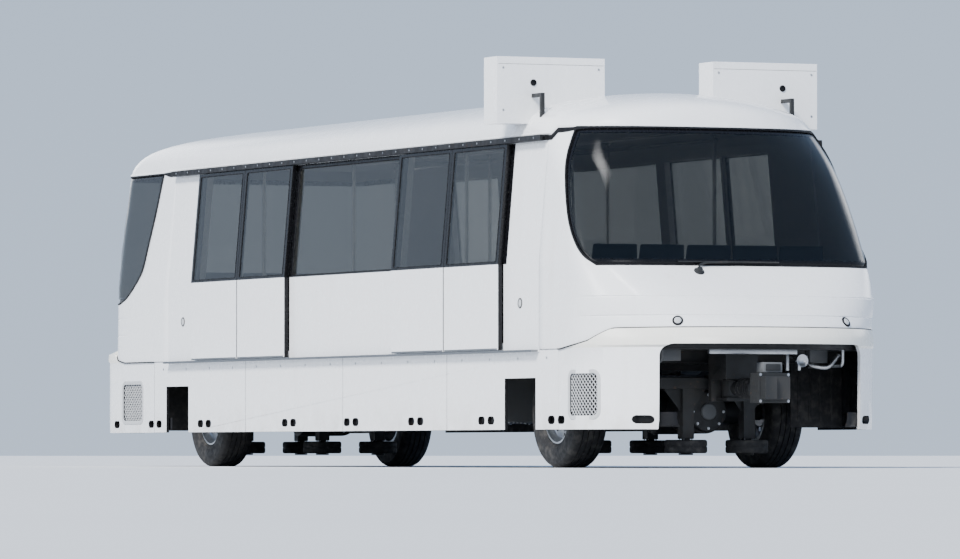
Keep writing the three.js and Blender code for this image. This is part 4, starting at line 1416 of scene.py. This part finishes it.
def plate(z, inset, low, high):
    """Flat sheet from low to high that fills the car's plan at height z"""
    front = outline(body_level(z), "front", 0.0, inset, 90)
    rear = outline(body_level(z), "rear", 0.0, inset, 90)[1:-1]
    points = [(x, y) for x, y in front] + [(-x, y) for x, y in rear[::-1]]
    return prism(points, "z", low, high)


def make_linings():
    """Floor sheet, ceiling with its two light strips, and the upstands at the floor's ends"""
    sheet = plate(1.232, CABIN_INSET, FLOOR_Z + 0.0005, FLOOR_Z + 0.004)
    piece("floor_sheet", [(sheet, FLOORING)])
    low, high = CEILING_Z
    strip_x = (-LIGHT_STRIP_HALF_LENGTH, LIGHT_STRIP_HALF_LENGTH)
    piece("ceiling", [(plate(high, CEILING_INSET, low, high), LINING)]
          + [(mirrored_box(1, side, strip_x, LIGHT_STRIP_Y, (low - 0.018, low + 0.001), 0.006), DIFFUSER)
             for side in SIDES.values()])
    for end, direction in ENDS.items():
        rows = []
        for z in UPSTAND_HEIGHTS:
            places = [place_at(body_level, end, z, NOSE_FROM, share, UPSTAND_INSET)
                      for share in np.linspace(0, 1, 90)]
            rows.append([(direction * x, y, z) for x, y in places])
        piece(f"{end}_floor_upstand", [(grid(rows), DARK)], thick=0.008)


def seat_shell(front_x, back_x, middle):
    """Moulded seat: a dished pan that turns up into a back, thinner towards its edges"""
    toward = math.copysign(1.0, back_x - front_x)
    depth = abs(back_x - front_x)
    profile = [(0.000, -0.048), (0.004, -0.020), (0.020, -0.004), (0.055, 0.004), (0.15, -0.004),
               (0.27, -0.012), (0.36, -0.008), (0.405, 0.010), (0.430, 0.050), (0.445, 0.12),
               (0.455, 0.22), (0.465, 0.33), (0.474, 0.42), (0.480, 0.462), (0.490, 0.474)]
    half = SEAT_PITCH / 2 - 0.006
    rows = []
    for share in np.linspace(-1, 1, 15):
        rise = 0.020 * abs(share) ** 3
        row = []
        for k, (along, up) in enumerate(profile):
            in_back = ease(k, 7, 9)
            x = front_x + toward * (along * depth / 0.50 - rise * in_back)
            narrow = 1 - 0.06 * ease(k, 10, 14) * abs(share)
            row.append((x, middle + half * share * narrow, SEAT_Z + up + rise * (1 - in_back)))
        rows.append(row)
    return grid(rows)


def make_bench(end):
    """Moulded seats on a stand, which is a lined box with vents and a frame of bars"""
    front_x, back_x = BENCHES[end]
    toward = math.copysign(1.0, back_x - front_x)
    middles = [(k - (SEAT_COUNT - 1) / 2) * SEAT_PITCH for k in range(SEAT_COUNT)]
    for k, middle in enumerate(middles):
        piece(f"seat_{end}_{k + 1}", [(seat_shell(front_x, back_x, middle), SEAT)], thick=0.010,
              bevel=0.0015, replaces=[f"bench_{end}"] if k == 0 else [])
    x0, x1 = front_x + toward * 0.08, back_x - toward * 0.02
    box = rounded_box((x0, x1), (-0.99, 0.99), (FLOOR_Z + 0.006, 1.40), 0.012)
    beams_x = ((front_x + toward * 0.12, front_x + toward * 0.17),
               (back_x - toward * 0.12, back_x - toward * 0.07))
    bars = [rounded_box(x, BENCH_BEAM_Y, BENCH_BEAM_Z, 0.006) for x in beams_x]
    bar_x = (x0 + toward * 0.02, x1 - toward * 0.02)
    bars += [rounded_box(bar_x, (y - 0.02, y + 0.02), (1.395, 1.435), 0.005) for y in middles]
    # The vents in the stand's face are near-black strips: painted shade in the openings
    vent_x = (x0 - toward * 0.003, x0 + toward * 0.004)
    vents = [rounded_box(vent_x, (y - 0.15, y + 0.15), (z, z + 0.012), 0.003)
             for y in middles[::2] for z in np.arange(1.16, 1.36, 0.03)]
    piece(f"seat_stand_{end}", [(box, LINING), (joined(bars), STEEL), (joined(vents), DARK)])


def make_handrails():
    """Poles from the floor to the ceiling, with flanges, and rails along and across"""
    bore = RAIL_RADIUS + 0.001
    flange = [(bore, 0.0), (0.045, 0.0), (0.045, 0.006), (0.030, 0.012), (bore, 0.016)]
    sleeve = [(RAIL_RADIUS, -0.03), (0.024, -0.03), (0.024, 0.03), (RAIL_RADIUS, 0.03)]
    parts = []
    for side in SIDES.values():
        y = side * RAIL_Y
        parts.append(rod((POLE_X[0] - 0.028, y, RAIL_Z), (POLE_X[-1] + 0.028, y, RAIL_Z), RAIL_RADIUS, 20))
        for x in POLE_X:
            foot, head = (x, y, FLOOR_Z + 0.0045), (x, y, CEILING_Z[0])
            parts += [rod(foot, head, RAIL_RADIUS, 20), lathe(flange, foot, (0, 0, 1), 28),
                      lathe(flange, head, (0, 0, -1), 28), lathe(sleeve, (x, y, RAIL_Z), (1, 0, 0), 24)]
    for x in (POLE_X[1], POLE_X[2]):
        parts.append(rod((x, -RAIL_Y, RAIL_Z), (x, RAIL_Y, RAIL_Z), RAIL_RADIUS, 20))
    piece("handrails_smooth", [(joined(parts), STEEL)], replaces=["handrails"])


make_linings()
make_handrails()
for end in ENDS:
    make_bench(end)


# Running gear: tyres, rims, guide wheels, and fittings on the bogies

TYRE_SEGMENTS = 150
GROOVES_Y = (-0.078, -0.026, 0.026, 0.078)
GROOVE_WIDTH = 0.010
TREAD_DEPTH = 0.012
SIPE_EVERY = 3
SIPE_DEPTH = 0.007
NUT_COUNT = 10
NUT_CIRCLE = 0.168
HOLE_COUNT = 8
HOLE_CIRCLE = 0.212
HOLE_RADIUS = 0.023
AXLE_Z = TYRE_RADIUS
GUIDE_BOLT_CIRCLE = 0.096
BELLOWS_Y = 0.60
DAMPER_Y = 0.625
MOTOR_RADIUS = 0.1795
MOTOR_END_X = 0.8395
COUPLER_BAR_RADIUS = 0.0605
COUPLER_RINGS_X = np.arange(5.72, 5.95, 0.045)


def tyre_profile():
    """Section of a tyre as (radius, along), from one bead over the tread to the other"""
    half = TYRE_WIDTH / 2
    wall = [(0.2852, 0.045), (0.292, 0.030), (0.305, 0.018), (0.318, 0.012), (0.326, 0.013), (0.334, 0.008),
            (0.360, 0.002), (0.395, 0.0), (0.430, 0.002), (0.455, 0.008), (0.462, 0.007), (0.470, 0.011),
            (0.486, 0.026), (0.495, 0.039), (TYRE_RADIUS, 0.050)]
    tread = []
    for middle in GROOVES_Y:
        low, high = middle - GROOVE_WIDTH / 2, middle + GROOVE_WIDTH / 2
        floor = TYRE_RADIUS - TREAD_DEPTH
        tread += [(TYRE_RADIUS, low - 0.001), (floor, low + 0.001), (floor, high - 0.001),
                  (TYRE_RADIUS, high + 0.001)]
    near = [(radius, inset - half) for radius, inset in wall]
    return near + tread + [(radius, -along) for radius, along in near[::-1]]


def sipes(radius, along, i):
    """Notches across the shoulders of the tread"""
    return SIPE_DEPTH if abs(along) > 0.112 and radius > 0.490 and i % SIPE_EVERY == 0 else 0.0


def make_wheel(end, name):
    """Tyre, rim with hand holes, and the hub's nuts, cap and valve"""
    side = SIDES[name]
    axis = Vector((0, side, 0))
    center = Vector((ENDS[end] * BOGIE_X, side * WHEEL_Y, AXLE_Z))
    body = f"{end}_wheel_{name}"
    half = TYRE_WIDTH / 2
    piece(f"{body}_tyre", [(lathe(tyre_profile(), center, axis, TYRE_SEGMENTS, dent=sipes), TYRE)],
          body=body, replaces=[f"{end}_tyre_{name}"], sharp=28)
    section = [(STUB_RADIUS, -0.058), (0.122, -0.058), (0.130, -0.050), (0.138, -0.010), (0.152, 0.020),
               (0.228, 0.028), (0.243, 0.018), (0.245, 0.042 - half), (0.252, 0.040 - half),
               (0.2848, 0.040 - half), (0.2848, half - 0.040), (0.268, half - 0.040), (0.262, half - 0.052),
               (0.256, 0.085), (0.250, 0.060), (0.238, 0.050), (0.152, 0.050), (0.144, 0.058),
               (0.126, 0.094), (0.118, 0.100), (STUB_RADIUS, 0.100)]
    rim = piece(f"{body}_rim", [(lathe(section, center, axis, 80), ALLOY)], body=body,
                replaces=[f"{end}_rim_{name}"])
    holes = [rod(place - axis * 0.1, place + axis * 0.1, HOLE_RADIUS, 20)
             for place in on_circle(center, axis, HOLE_CIRCLE, HOLE_COUNT)]
    cut(rim, [joined(holes)], bevel=0.0025)
    nuts = on_circle(center + axis * 0.0495, axis, NUT_CIRCLE, NUT_COUNT, 0.3)
    cap = [(0.0665, 0.0985), (0.0665, 0.112), (0.060, 0.120), (0.046, 0.125), (0.020, 0.127)]
    cap_bolts = on_circle(center + axis * 0.0995, axis, 0.094, 8)
    valve = center + axis * 0.052 + Vector((0.232, 0, 0))
    piece(f"{body}_hub", [(bolts(nuts, axis, 0.015, 0.020), ZINC),
                          (lathe(cap, center, axis, 40, capped=True), CHASSIS),
                          (bolts(cap_bolts, axis, 0.008, 0.007), ZINC),
                          (rod(valve, valve + axis * 0.035, 0.005, 10), STEEL)], body=body)


def make_guide_wheel(end, along, name):
    """Tyre and hub of a guide wheel, each turned as a closed ring, and the hub's bolts"""
    node = f"{end}_guide_wheel_{along}_{name}"
    center = Vector((ENDS[end] * BOGIE_X + ENDS[along] * GUIDE_X, SIDES[name] * GUIDE_Y, 0))
    low, high = GUIDE_Z
    ring = [(0.138, low + 0.012), (0.150, low + 0.004), (0.170, low), (0.182, low + 0.004),
            (0.188, low + 0.012), (GUIDE_RADIUS, low + 0.022), (GUIDE_RADIUS, low + 0.052),
            (0.186, low + 0.055), (0.186, low + 0.065), (GUIDE_RADIUS, low + 0.068)]
    ring += [(radius, low + high - z) for radius, z in ring[:6][::-1]]
    hub = [(0.0405, low + 0.004), (0.066, low + 0.004), (0.072, low + 0.030), (0.118, low + 0.036),
           (0.124, low + 0.014), (0.1378, low + 0.014), (0.1378, high - 0.014), (0.124, high - 0.014),
           (0.118, high - 0.040), (0.072, high - 0.034), (0.066, high - 0.004), (0.0405, high - 0.004)]
    heads = on_circle(center + Vector((0, 0, low + 0.034)), (0, 0, 1), GUIDE_BOLT_CIRCLE, 8)
    piece(f"{node}_smooth", [(lathe(ring, center, (0, 0, 1), 72), TYRE),
                             (lathe(hub, center, (0, 0, 1), 60), CHASSIS),
                             (bolts(heads, (0, 0, -1), 0.009, 0.008), ZINC)],
          body=f"{end}_guide_{along}_{name}", replaces=[node], bevel=0.001)


def damper(foot, head):
    """Telescopic damper with a rubber bush at its foot"""
    reach = head - foot
    half_bush = Vector((0, 0.03, 0))
    return [(rod(foot, foot + reach * 0.60, 0.026, 20), CHASSIS),
            (rod(foot + reach * 0.58, head, 0.012, 14), STEEL),
            (rod(foot - half_bush, foot + half_bush, 0.022, 16), BELLOWS)]


def guide_bracket(x, side):
    """Gussets and bolts at the post of one guide wheel"""
    parts = []
    for inner, outer in ((0.245, 0.10), (0.355, 0.52)):
        corners = [(side * inner, 0.702), (side * outer, 0.702), (side * inner, 0.50)]
        parts.append((prism(corners, "x", x - 0.008, x + 0.008), CHASSIS))
    heads = [(x + dx, side * (GUIDE_Y + dy), 0.258) for dx in (-0.04, 0.04) for dy in (-0.04, 0.04)]
    return parts + [(bolts(heads, (0, 0, -1), 0.007, 0.006), ZINC)]


def brake_chamber(x, side):
    case = [(0.045, 0.0), (0.066, 0.010), (0.068, 0.055), (0.074, 0.060), (0.074, 0.070), (0.068, 0.075),
            (0.064, 0.115), (0.040, 0.130)]
    mouth = Vector((x - 0.205, side * 0.44, AXLE_Z + 0.075))
    return [(lathe(case, mouth, (0, -side, 0), 32, capped=True), CHASSIS),
            (rod(mouth, mouth + Vector((0, side * 0.16, 0)), 0.010, 12), STEEL)]


def bogie_side(x, side):
    """Air spring, dampers, guide wheel brackets, brake chamber, bolts and air pipe on one side"""
    bellows = [(0.100, 0.797), (0.122, 0.800), (0.134, 0.808), (0.136, 0.817), (0.128, 0.827), (0.118, 0.835),
               (0.128, 0.843), (0.136, 0.853), (0.134, 0.862), (0.122, 0.869), (0.100, 0.873)]
    parts = [(lathe(bellows, (x, side * BELLOWS_Y, 0), (0, 0, 1), 40), BELLOWS)]
    for turn in (-1, 1):
        parts += damper(Vector((x + turn * 0.46, side * DAMPER_Y, 0.815)),
                        Vector((x + turn * 0.175, side * DAMPER_Y, 0.905)))
        parts += guide_bracket(x + turn * GUIDE_X, side)
    parts += brake_chamber(x, side)
    heads = [(x + dx, side * y, 0.700) for dx in (-0.75, -0.25, 0.25, 0.75) for y in (0.57, 0.63)]
    pipe = [(x - 0.94, side * 0.50, 0.815), (x - 0.30, side * 0.50, 0.815), (x - 0.22, side * 0.47, 0.66),
            (x - 0.205, side * 0.40, 0.64)]
    return parts + [(bolts(heads, (0, 0, -1), 0.011, 0.009), ZINC),
                    (tube(rounded_path(pipe, 0.04), 0.009, 10), SEAL)]


def bogie_fittings(x):
    """Fittings on both sides of a bogie whose middle is at x, and on its motor"""
    parts = [part for side in SIDES.values() for part in bogie_side(x, side)]
    axis = (1, 0, 0)
    fin = [(MOTOR_RADIUS, 0.0), (0.196, 0.001), (0.196, 0.004), (MOTOR_RADIUS, 0.005)]
    fins = [lathe(fin, (x + along, 0, AXLE_Z), axis, 56) for along in np.arange(0.40, 0.78, 0.026)]
    cover = [(0.060, 0.0), (0.075, 0.0), (0.075, 0.012), (0.066, 0.022), (0.030, 0.026)]
    motor_end = (x + MOTOR_END_X, 0, AXLE_Z)
    return parts + [(joined(fins), CHASSIS),
                    (rounded_box((x + 0.44, x + 0.70), (-0.09, 0.09), (0.676, 0.735), 0.010), CASE),
                    (bolts(on_circle(motor_end, axis, 0.150, 8), axis, 0.010, 0.009), ZINC),
                    (lathe(cover, motor_end, axis, 36, capped=True), CASE)]


def end_point(direction, x, y, z):
    return Vector((direction * x, y, z))


def coupler_fittings(end):
    """Rubber rings, flange bolts and an electrical box on one coupler"""
    direction = ENDS[end]
    at = functools.partial(end_point, direction)
    box = functools.partial(mirrored_box, direction, 1)
    axis = (direction, 0, 0)
    bar = COUPLER_BAR_RADIUS
    ring = [(bar, 0.0), (0.088, 0.004), (0.092, 0.012), (0.088, 0.020), (bar, 0.024)]
    rings = [lathe(ring, at(x, 0, COUPLER_Z), axis, 40) for x in COUPLER_RINGS_X]
    collar = [(bar, 0.0), (0.100, 0.0), (0.106, 0.006), (0.106, 0.034), (0.100, 0.040), (bar, 0.040)]
    heads = on_circle(at(6.0395, 0, COUPLER_Z), axis, 0.084, 6, 0.5)
    face = [at(6.3295, y, z) for y in (-0.135, 0.135) for z in (0.585, 0.815)]
    return [(joined(rings), BELLOWS),
            (lathe(collar, at(6.0, 0, COUPLER_Z), axis, 40), CHASSIS),
            (bolts(heads, axis, 0.010, 0.009), ZINC),
            (bolts(face, axis, 0.010, 0.007), ZINC),
            (box((6.165, 6.30), (-0.095, 0.095), (0.832, 0.925), 0.010), CASE),
            (box((6.298, 6.312), (-0.070, 0.070), (0.850, 0.908), 0.004), CHASSIS)]


for end, direction in ENDS.items():
    for name in SIDES:
        make_wheel(end, name)
        for along in ENDS:
            make_guide_wheel(end, along, name)
    piece(f"{end}_bogie_fittings", bogie_fittings(direction * BOGIE_X), body=f"{end}_bogie",
          bevel=0.001)
    piece(f"{end}_coupler_fittings", coupler_fittings(end), body=f"{end}_coupler_bar")


# Underframe fittings and the equipment in the coupler bays

CROSS_MEMBERS_X = (0.0, 2.88, 3.45, 4.80, 5.15)
BOX_HALF_WIDTH = 1.15
BOX_Z = (0.43, 1.04)
BOX_SPANS = {"traction": (-2.75, -0.25), "auxiliary": (0.25, 2.75)}
COVER_COUNT = 3                      # covers on each side of an equipment box
PAN_COUNT = 4                        # pans under an equipment box
TANK_X = 3.2
TANK_Z = 0.94
TANK_RADIUS = 0.095
STRAPS_Y = (-0.55, 0.55)


def channel(x):
    """Cross member with flanges, hung under the floor"""
    half = [(0.03, 0.93), (0.03, 0.937), (0.005, 0.937), (0.005, 1.043), (0.03, 1.043), (0.03, 1.0495)]
    section = half + [(-a, b) for a, b in half[::-1]]
    return prism([(x + a, b) for a, b in section], "y", -1.279, 1.279)


def make_underframe_fittings():
    """Cross members, air tanks with their straps, and clipped pipes along both sides"""
    parts = [(channel(direction * x), CHASSIS) for x in CROSS_MEMBERS_X for direction in (1, -1)
             if x or direction > 0]
    tank = [(0.02, 0.0), (0.06, 0.008), (0.085, 0.026), (TANK_RADIUS, 0.055)]
    tank += [(radius, 1.60 - along) for radius, along in tank[::-1]]
    strap_radius = TANK_RADIUS + 0.004
    strap = [(TANK_RADIUS, -0.02), (strap_radius, -0.02), (strap_radius, 0.02), (TANK_RADIUS, 0.02)]
    for direction in ENDS.values():
        x = direction * TANK_X
        parts.append((lathe(tank, (x, -0.8, TANK_Z), (0, 1, 0), 36, capped=True), CASE))
        parts += [(lathe(strap, (x, y, TANK_Z), (0, 1, 0), 36), ZINC) for y in STRAPS_Y]
    for side in SIDES.values():
        for k, z in enumerate((0.905, 0.945)):
            y = side * (1.205 + 0.03 * k)
            run = [(-3.42, y, z), (3.42, y, z), (3.42, side * 1.00, z)]
            parts.append((tube(rounded_path([(-3.42, side * 1.00, z)] + run, 0.05), 0.011, 10), ZINC))
        clips = [rounded_box((x - 0.015, x + 0.015), (side * 1.185, side * 1.255), (0.885, 0.965), 0.004)
                 for x in np.arange(-3.2, 3.3, 0.8)]
        parts.append((joined(clips), CHASSIS))
    piece("underframe_fittings", parts, bevel=0.001)


def box_covers(low, high, side):
    """Bolted covers along one side of an equipment box, the middle one with vents"""
    bottom, top = BOX_Z
    face = side * BOX_HALF_WIDTH
    parts = []
    for k in range(COVER_COUNT):
        x0 = low + 0.04 + k * (high - low) / COVER_COUNT
        x1 = x0 + (high - low) / COVER_COUNT - 0.08
        parts.append((rounded_box((x0, x1), (face - side * 0.002, face + side * 0.010),
                                  (bottom + 0.05, top - 0.06), 0.006), CASE))
        heads = [(x, face + side * 0.010, z) for x in np.linspace(x0 + 0.04, x1 - 0.04, 4)
                 for z in (bottom + 0.08, top - 0.09)]
        parts.append((bolts(heads, (0, side, 0), 0.008, 0.006), ZINC))
        if k == COVER_COUNT // 2:
            # The vent slots are near-black strips: painted shade in the openings
            vents = [rounded_box((x0 + 0.14, x1 - 0.14), (face + side * 0.008, face + side * 0.0155),
                                 (z, z + 0.014), 0.003) for z in np.arange(0.56, 0.90, 0.032)]
            parts.append((joined(vents), DARK))
    return parts


def make_box_fittings(name):
    """Covers and pans of an equipment box, and cooling fins under the traction box"""
    low, high = BOX_SPANS[name]
    bottom = BOX_Z[0]
    parts = [part for side in SIDES.values() for part in box_covers(low, high, side)]
    for k in range(PAN_COUNT):
        x0 = low + 0.05 + k * (high - low) / PAN_COUNT
        x1 = x0 + (high - low) / PAN_COUNT - 0.10
        parts.append((rounded_box((x0, x1), (-1.02, 1.02), (bottom - 0.010, bottom + 0.002), 0.005), CASE))
        heads = [(x, y, bottom - 0.010) for x in (x0 + 0.04, x1 - 0.04) for y in np.linspace(-0.96, 0.96, 7)]
        parts.append((bolts(heads, (0, 0, -1), 0.010, 0.008), ZINC))
    if name == "traction":
        fins = [rounded_box((x, x + 0.006), (-0.62, 0.62), (bottom - 0.058, bottom - 0.008), 0.0015)
                for x in np.arange(low + 0.75, high - 0.72, 0.028)]
        parts.append((joined(fins), ALLOY))
    piece(f"{name}_box_fittings", parts, bevel=0.0008)


BAY_FITTINGS_TOP_Z = 1.048
BAY_PIPES_TOP_Z = 1.045
BAY_PIPE_TIP_X = {"front": 5.95, "rear": 5.90}
HORN_Y = 0.50
HORN_Z = 0.945

# Boxes and brackets under the top of a coupler bay. Columns: x, y, lower z, edge radius, finish
BAY_BOXES = (
    ((5.86, 5.90), (-0.42, 0.44), 1.000, 0.006, ZINC),
    ((5.45, 5.70), (0.66, 0.84), 0.930, 0.008, CASE),
    ((5.40, 5.66), (-0.84, -0.58), 0.940, 0.008, CASE),
    ((5.52, 5.56), (0.50, 0.53), 0.860, 0.004, ZINC),
    ((5.76, 5.79), (0.50, 0.53), 0.860, 0.004, ZINC),
    ((5.74, 5.83), (0.47, 0.55), 0.965, 0.006, CHASSIS),
)


def make_bay(end):
    """Air pipes, a round horn, boxes and brackets beside and above the coupler"""
    direction = ENDS[end]
    at = functools.partial(end_point, direction)
    hose = [at(5.30, 0.62, 1.00), at(5.62, 0.62, 0.98), at(5.74, 0.66, 0.90), at(5.80, 0.80, 0.88),
            at(5.80, 0.90, 1.00)]
    parts = [(tube(rounded_path(hose, 0.06), 0.019, 12), ZINC)]
    tip = BAY_PIPE_TIP_X[end]
    for x, y, z, finish in ((tip, 0.86, 0.90, ZINC), (tip - 0.1, -0.86, 0.93, CASE)):
        path = [at(5.28, y, z), at(x, y, z), at(x, y, BAY_PIPES_TOP_Z)]
        parts.append((tube(rounded_path(path, 0.05), 0.014, 12), finish))
    bell = [(0.012, -0.06), (0.022, -0.02), (0.034, 0.0), (0.055, 0.014), (0.056, 0.020), (0.048, 0.018),
            (0.030, 0.006), (0.010, 0.002)]
    parts += [(lathe(bell, at(5.86, HORN_Y, HORN_Z), (direction, 0, 0), 36, capped=True), ALLOY),
              (rod(at(5.80, HORN_Y, HORN_Z), at(5.72, HORN_Y + 0.02, HORN_Z), 0.012, 12), ZINC)]
    parts += [(mirrored_box(direction, 1, x, y, (low, BAY_FITTINGS_TOP_Z), radius), finish)
              for x, y, low, radius, finish in BAY_BOXES]
    screws = [at(5.48 + 0.06 * k, 0.658, 0.99) for k in range(4)]
    parts.append((bolts(screws, (0, -1, 0), 0.007, 0.005), ZINC))
    piece(f"{end}_bay_fittings", parts, bevel=0.001)


GUARD_X = 4.950                      # rubber splash guard between a wheel and the coupler bay
GUARD_Y = (0.840, 1.355)             # clear of the bogie frame when it steers
GUARD_Z = (0.360, 1.038)
GUARD_RIBS_Y = (0.92, 1.03, 1.14, 1.25)


def make_splash_guard(end, name):
    """Ribbed rubber sheet held by a bolted strip"""
    direction, side = ENDS[end], SIDES[name]
    box = functools.partial(mirrored_box, direction, side)
    low, high = GUARD_Z
    face_x = GUARD_X + 0.016
    ribs = [box((GUARD_X + 0.006, face_x), (y - 0.012, y + 0.012), (low + 0.06, high - 0.11), 0.005)
            for y in GUARD_RIBS_Y]
    heads = [(direction * face_x, side * y, high - 0.04) for y in GUARD_RIBS_Y]
    parts = [(box((GUARD_X, GUARD_X + 0.010), GUARD_Y, GUARD_Z, 0.003), BELLOWS),
             (joined(ribs), BELLOWS),
             (box((GUARD_X + 0.009, face_x), GUARD_Y, (high - 0.06, high - 0.02), 0.002), CHASSIS),
             (bolts(heads, (direction, 0, 0), 0.010, 0.007), ZINC)]
    piece(f"splash_guard_{end}_{name}", parts, bevel=0.001)


make_underframe_fittings()
for name in BOX_SPANS:
    make_box_fittings(name)
for end in ENDS:
    make_bay(end)
    for name in SIDES:
        make_splash_guard(end, name)


# Stage: pale floor, soft light, and the camera on the photo's side at floor level

FLOOR_REACH = 500.0
FLOOR_COLOR = (0.70, 0.71, 0.72)
FLOOR_STAIN = (0.63, 0.64, 0.65)
HORIZON = (0.66, 0.80, 1.0)
SKY = (0.34, 0.50, 0.80)
SUN_STRENGTH = 6.5
SUN_WIDTH = 14                       # degrees
SUN_COLOR = (1.0, 0.98, 0.95)
SUN_RAYS = (-0.38, 0.55, -0.60)
PANEL_TARGET = (0, 0, 1.6)

# Columns: name, place, size, power
PANELS = (
    ("side_panel", (4, -16, 6), (16, 7), 2000),
    ("front_panel", (18, -4, 5), (8, 6), 600),
    ("far_panel", (-3, 16, 8), (14, 6), 600),
    ("rear_panel", (-18, 0, 6), (8, 6), 400),
)


def make_floor():
    mesh = bpy.data.meshes.new("floor")
    reach = FLOOR_REACH
    mesh.from_pydata([(-reach, -reach, 0), (reach, -reach, 0), (reach, reach, 0), (-reach, reach, 0)], [],
                     [(0, 1, 2, 3)])
    floor = placed("floor", mesh)
    pale = Finish("pale_floor", FLOOR_COLOR, 0.9, Specular_IOR_Level=0.05)
    pale.tint(pale.patches(0.4, 3.0, 0.4, 0.7, 0.12), FLOOR_STAIN)
    mesh.materials.append(pale.material)
    return floor


def make_sky():
    """World light that goes from a pale horizon to blue half way up"""
    world = bpy.data.worlds.new("soft_sky")
    bpy.context.scene.world = world
    world.use_nodes = True
    tree = world.node_tree
    background = tree.nodes["Background"]
    coordinates = tree.nodes.new("ShaderNodeTexCoord")
    split = tree.nodes.new("ShaderNodeSeparateXYZ")
    ramp = tree.nodes.new("ShaderNodeValToRGB")
    tree.links.new(coordinates.outputs["Generated"], split.inputs[0])
    tree.links.new(split.outputs["Z"], ramp.inputs[0])
    tree.links.new(ramp.outputs[0], background.inputs["Color"])
    ramp.color_ramp.elements[0].color = (*HORIZON, 1)
    ramp.color_ramp.elements[1].position = 0.5
    ramp.color_ramp.elements[1].color = (*SKY, 1)
    background.inputs["Strength"].default_value = 1.0


def all_but(obj):
    """Collection for a light that lights everything but one object"""
    receivers = bpy.data.collections.new(f"all_but_{obj.name}")
    receivers.objects.link(obj)
    receivers.collection_objects[0].light_linking.link_state = "EXCLUDE"
    return receivers


def soften(data):
    """Fades a panel from its middle to its edges, as a softbox does"""
    data.use_nodes = True
    tree = data.node_tree
    split = tree.nodes.new("ShaderNodeSeparateXYZ")
    tree.links.new(tree.nodes.new("ShaderNodeNewGeometry").outputs["Parametric"], split.inputs[0])
    strength = math.pi / 2
    for axis in ("X", "Y"):
        wave = math_node(tree, "SINE", math_node(tree, "MULTIPLY", split.outputs[axis], math.pi))
        strength = math_node(tree, "MULTIPLY", wave, strength)
    tree.links.new(strength, tree.nodes["Emission"].inputs["Strength"])


def area_light(name, place, size, power, receivers, target=PANEL_TARGET, along=None):
    """Rectangular panel that faces a target; its first side lies along a direction, or level"""
    data = bpy.data.lights.new(name, "AREA")
    data.shape = "RECTANGLE"
    data.size, data.size_y = size
    data.energy = power
    soften(data)
    light = placed(name, data)
    back = (Vector(place) - Vector(target)).normalized()
    level = Vector(along) if along else Vector((0, 0, 1)).cross(back)
    level = (level - back * level.dot(back)).normalized()
    light.location = place
    light.rotation_euler = Matrix((level, back.cross(level), back)).transposed().to_euler()
    light.visible_camera = light.visible_transmission = False
    light.light_linking.receiver_collection = receivers


def make_lights(floor):
    """Soft sun, softbox panels, and a panel whose reflection is the streak on the front glass"""
    data = bpy.data.lights.new("soft_sun", "SUN")
    data.energy = SUN_STRENGTH
    data.angle = math.radians(SUN_WIDTH)
    data.color = SUN_COLOR
    sun = placed("soft_sun", data)
    sun.rotation_euler = Vector(SUN_RAYS).to_track_quat("-Z", "Y").to_euler()
    sun.visible_glossy = sun.visible_transmission = False
    off_floor = all_but(floor)
    for name, place, size, power in PANELS:
        area_light(name, place, size, power, off_floor)
    area_light("glass_streak", (10.0, -6.2, 21.0), (9, 3.4), 1000, off_floor, target=(5.2, -1.1, 2.6),
               along=(0.93, 0.30, -0.25))


CAMERA_FROM = (60.935, -27.083)      # plan position of the photo's camera
CAMERA_Z = 0.12                      # the photo looks up, so the camera is at floor level
CAMERA_AIM = (0.35, -0.15, 1.78)
CAMERA_LENS = 262.0


def make_camera():
    data = bpy.data.cameras.new("camera")
    data.lens = CAMERA_LENS
    data.clip_end = 4 * FLOOR_REACH
    camera = placed("camera", data)
    camera.location = (*CAMERA_FROM, CAMERA_Z)
    aim = Vector(CAMERA_AIM) - camera.location
    camera.rotation_euler = aim.to_track_quat("-Z", "Y").to_euler()
    bpy.context.scene.camera = camera


make_sky()
make_lights(make_floor())
make_camera()
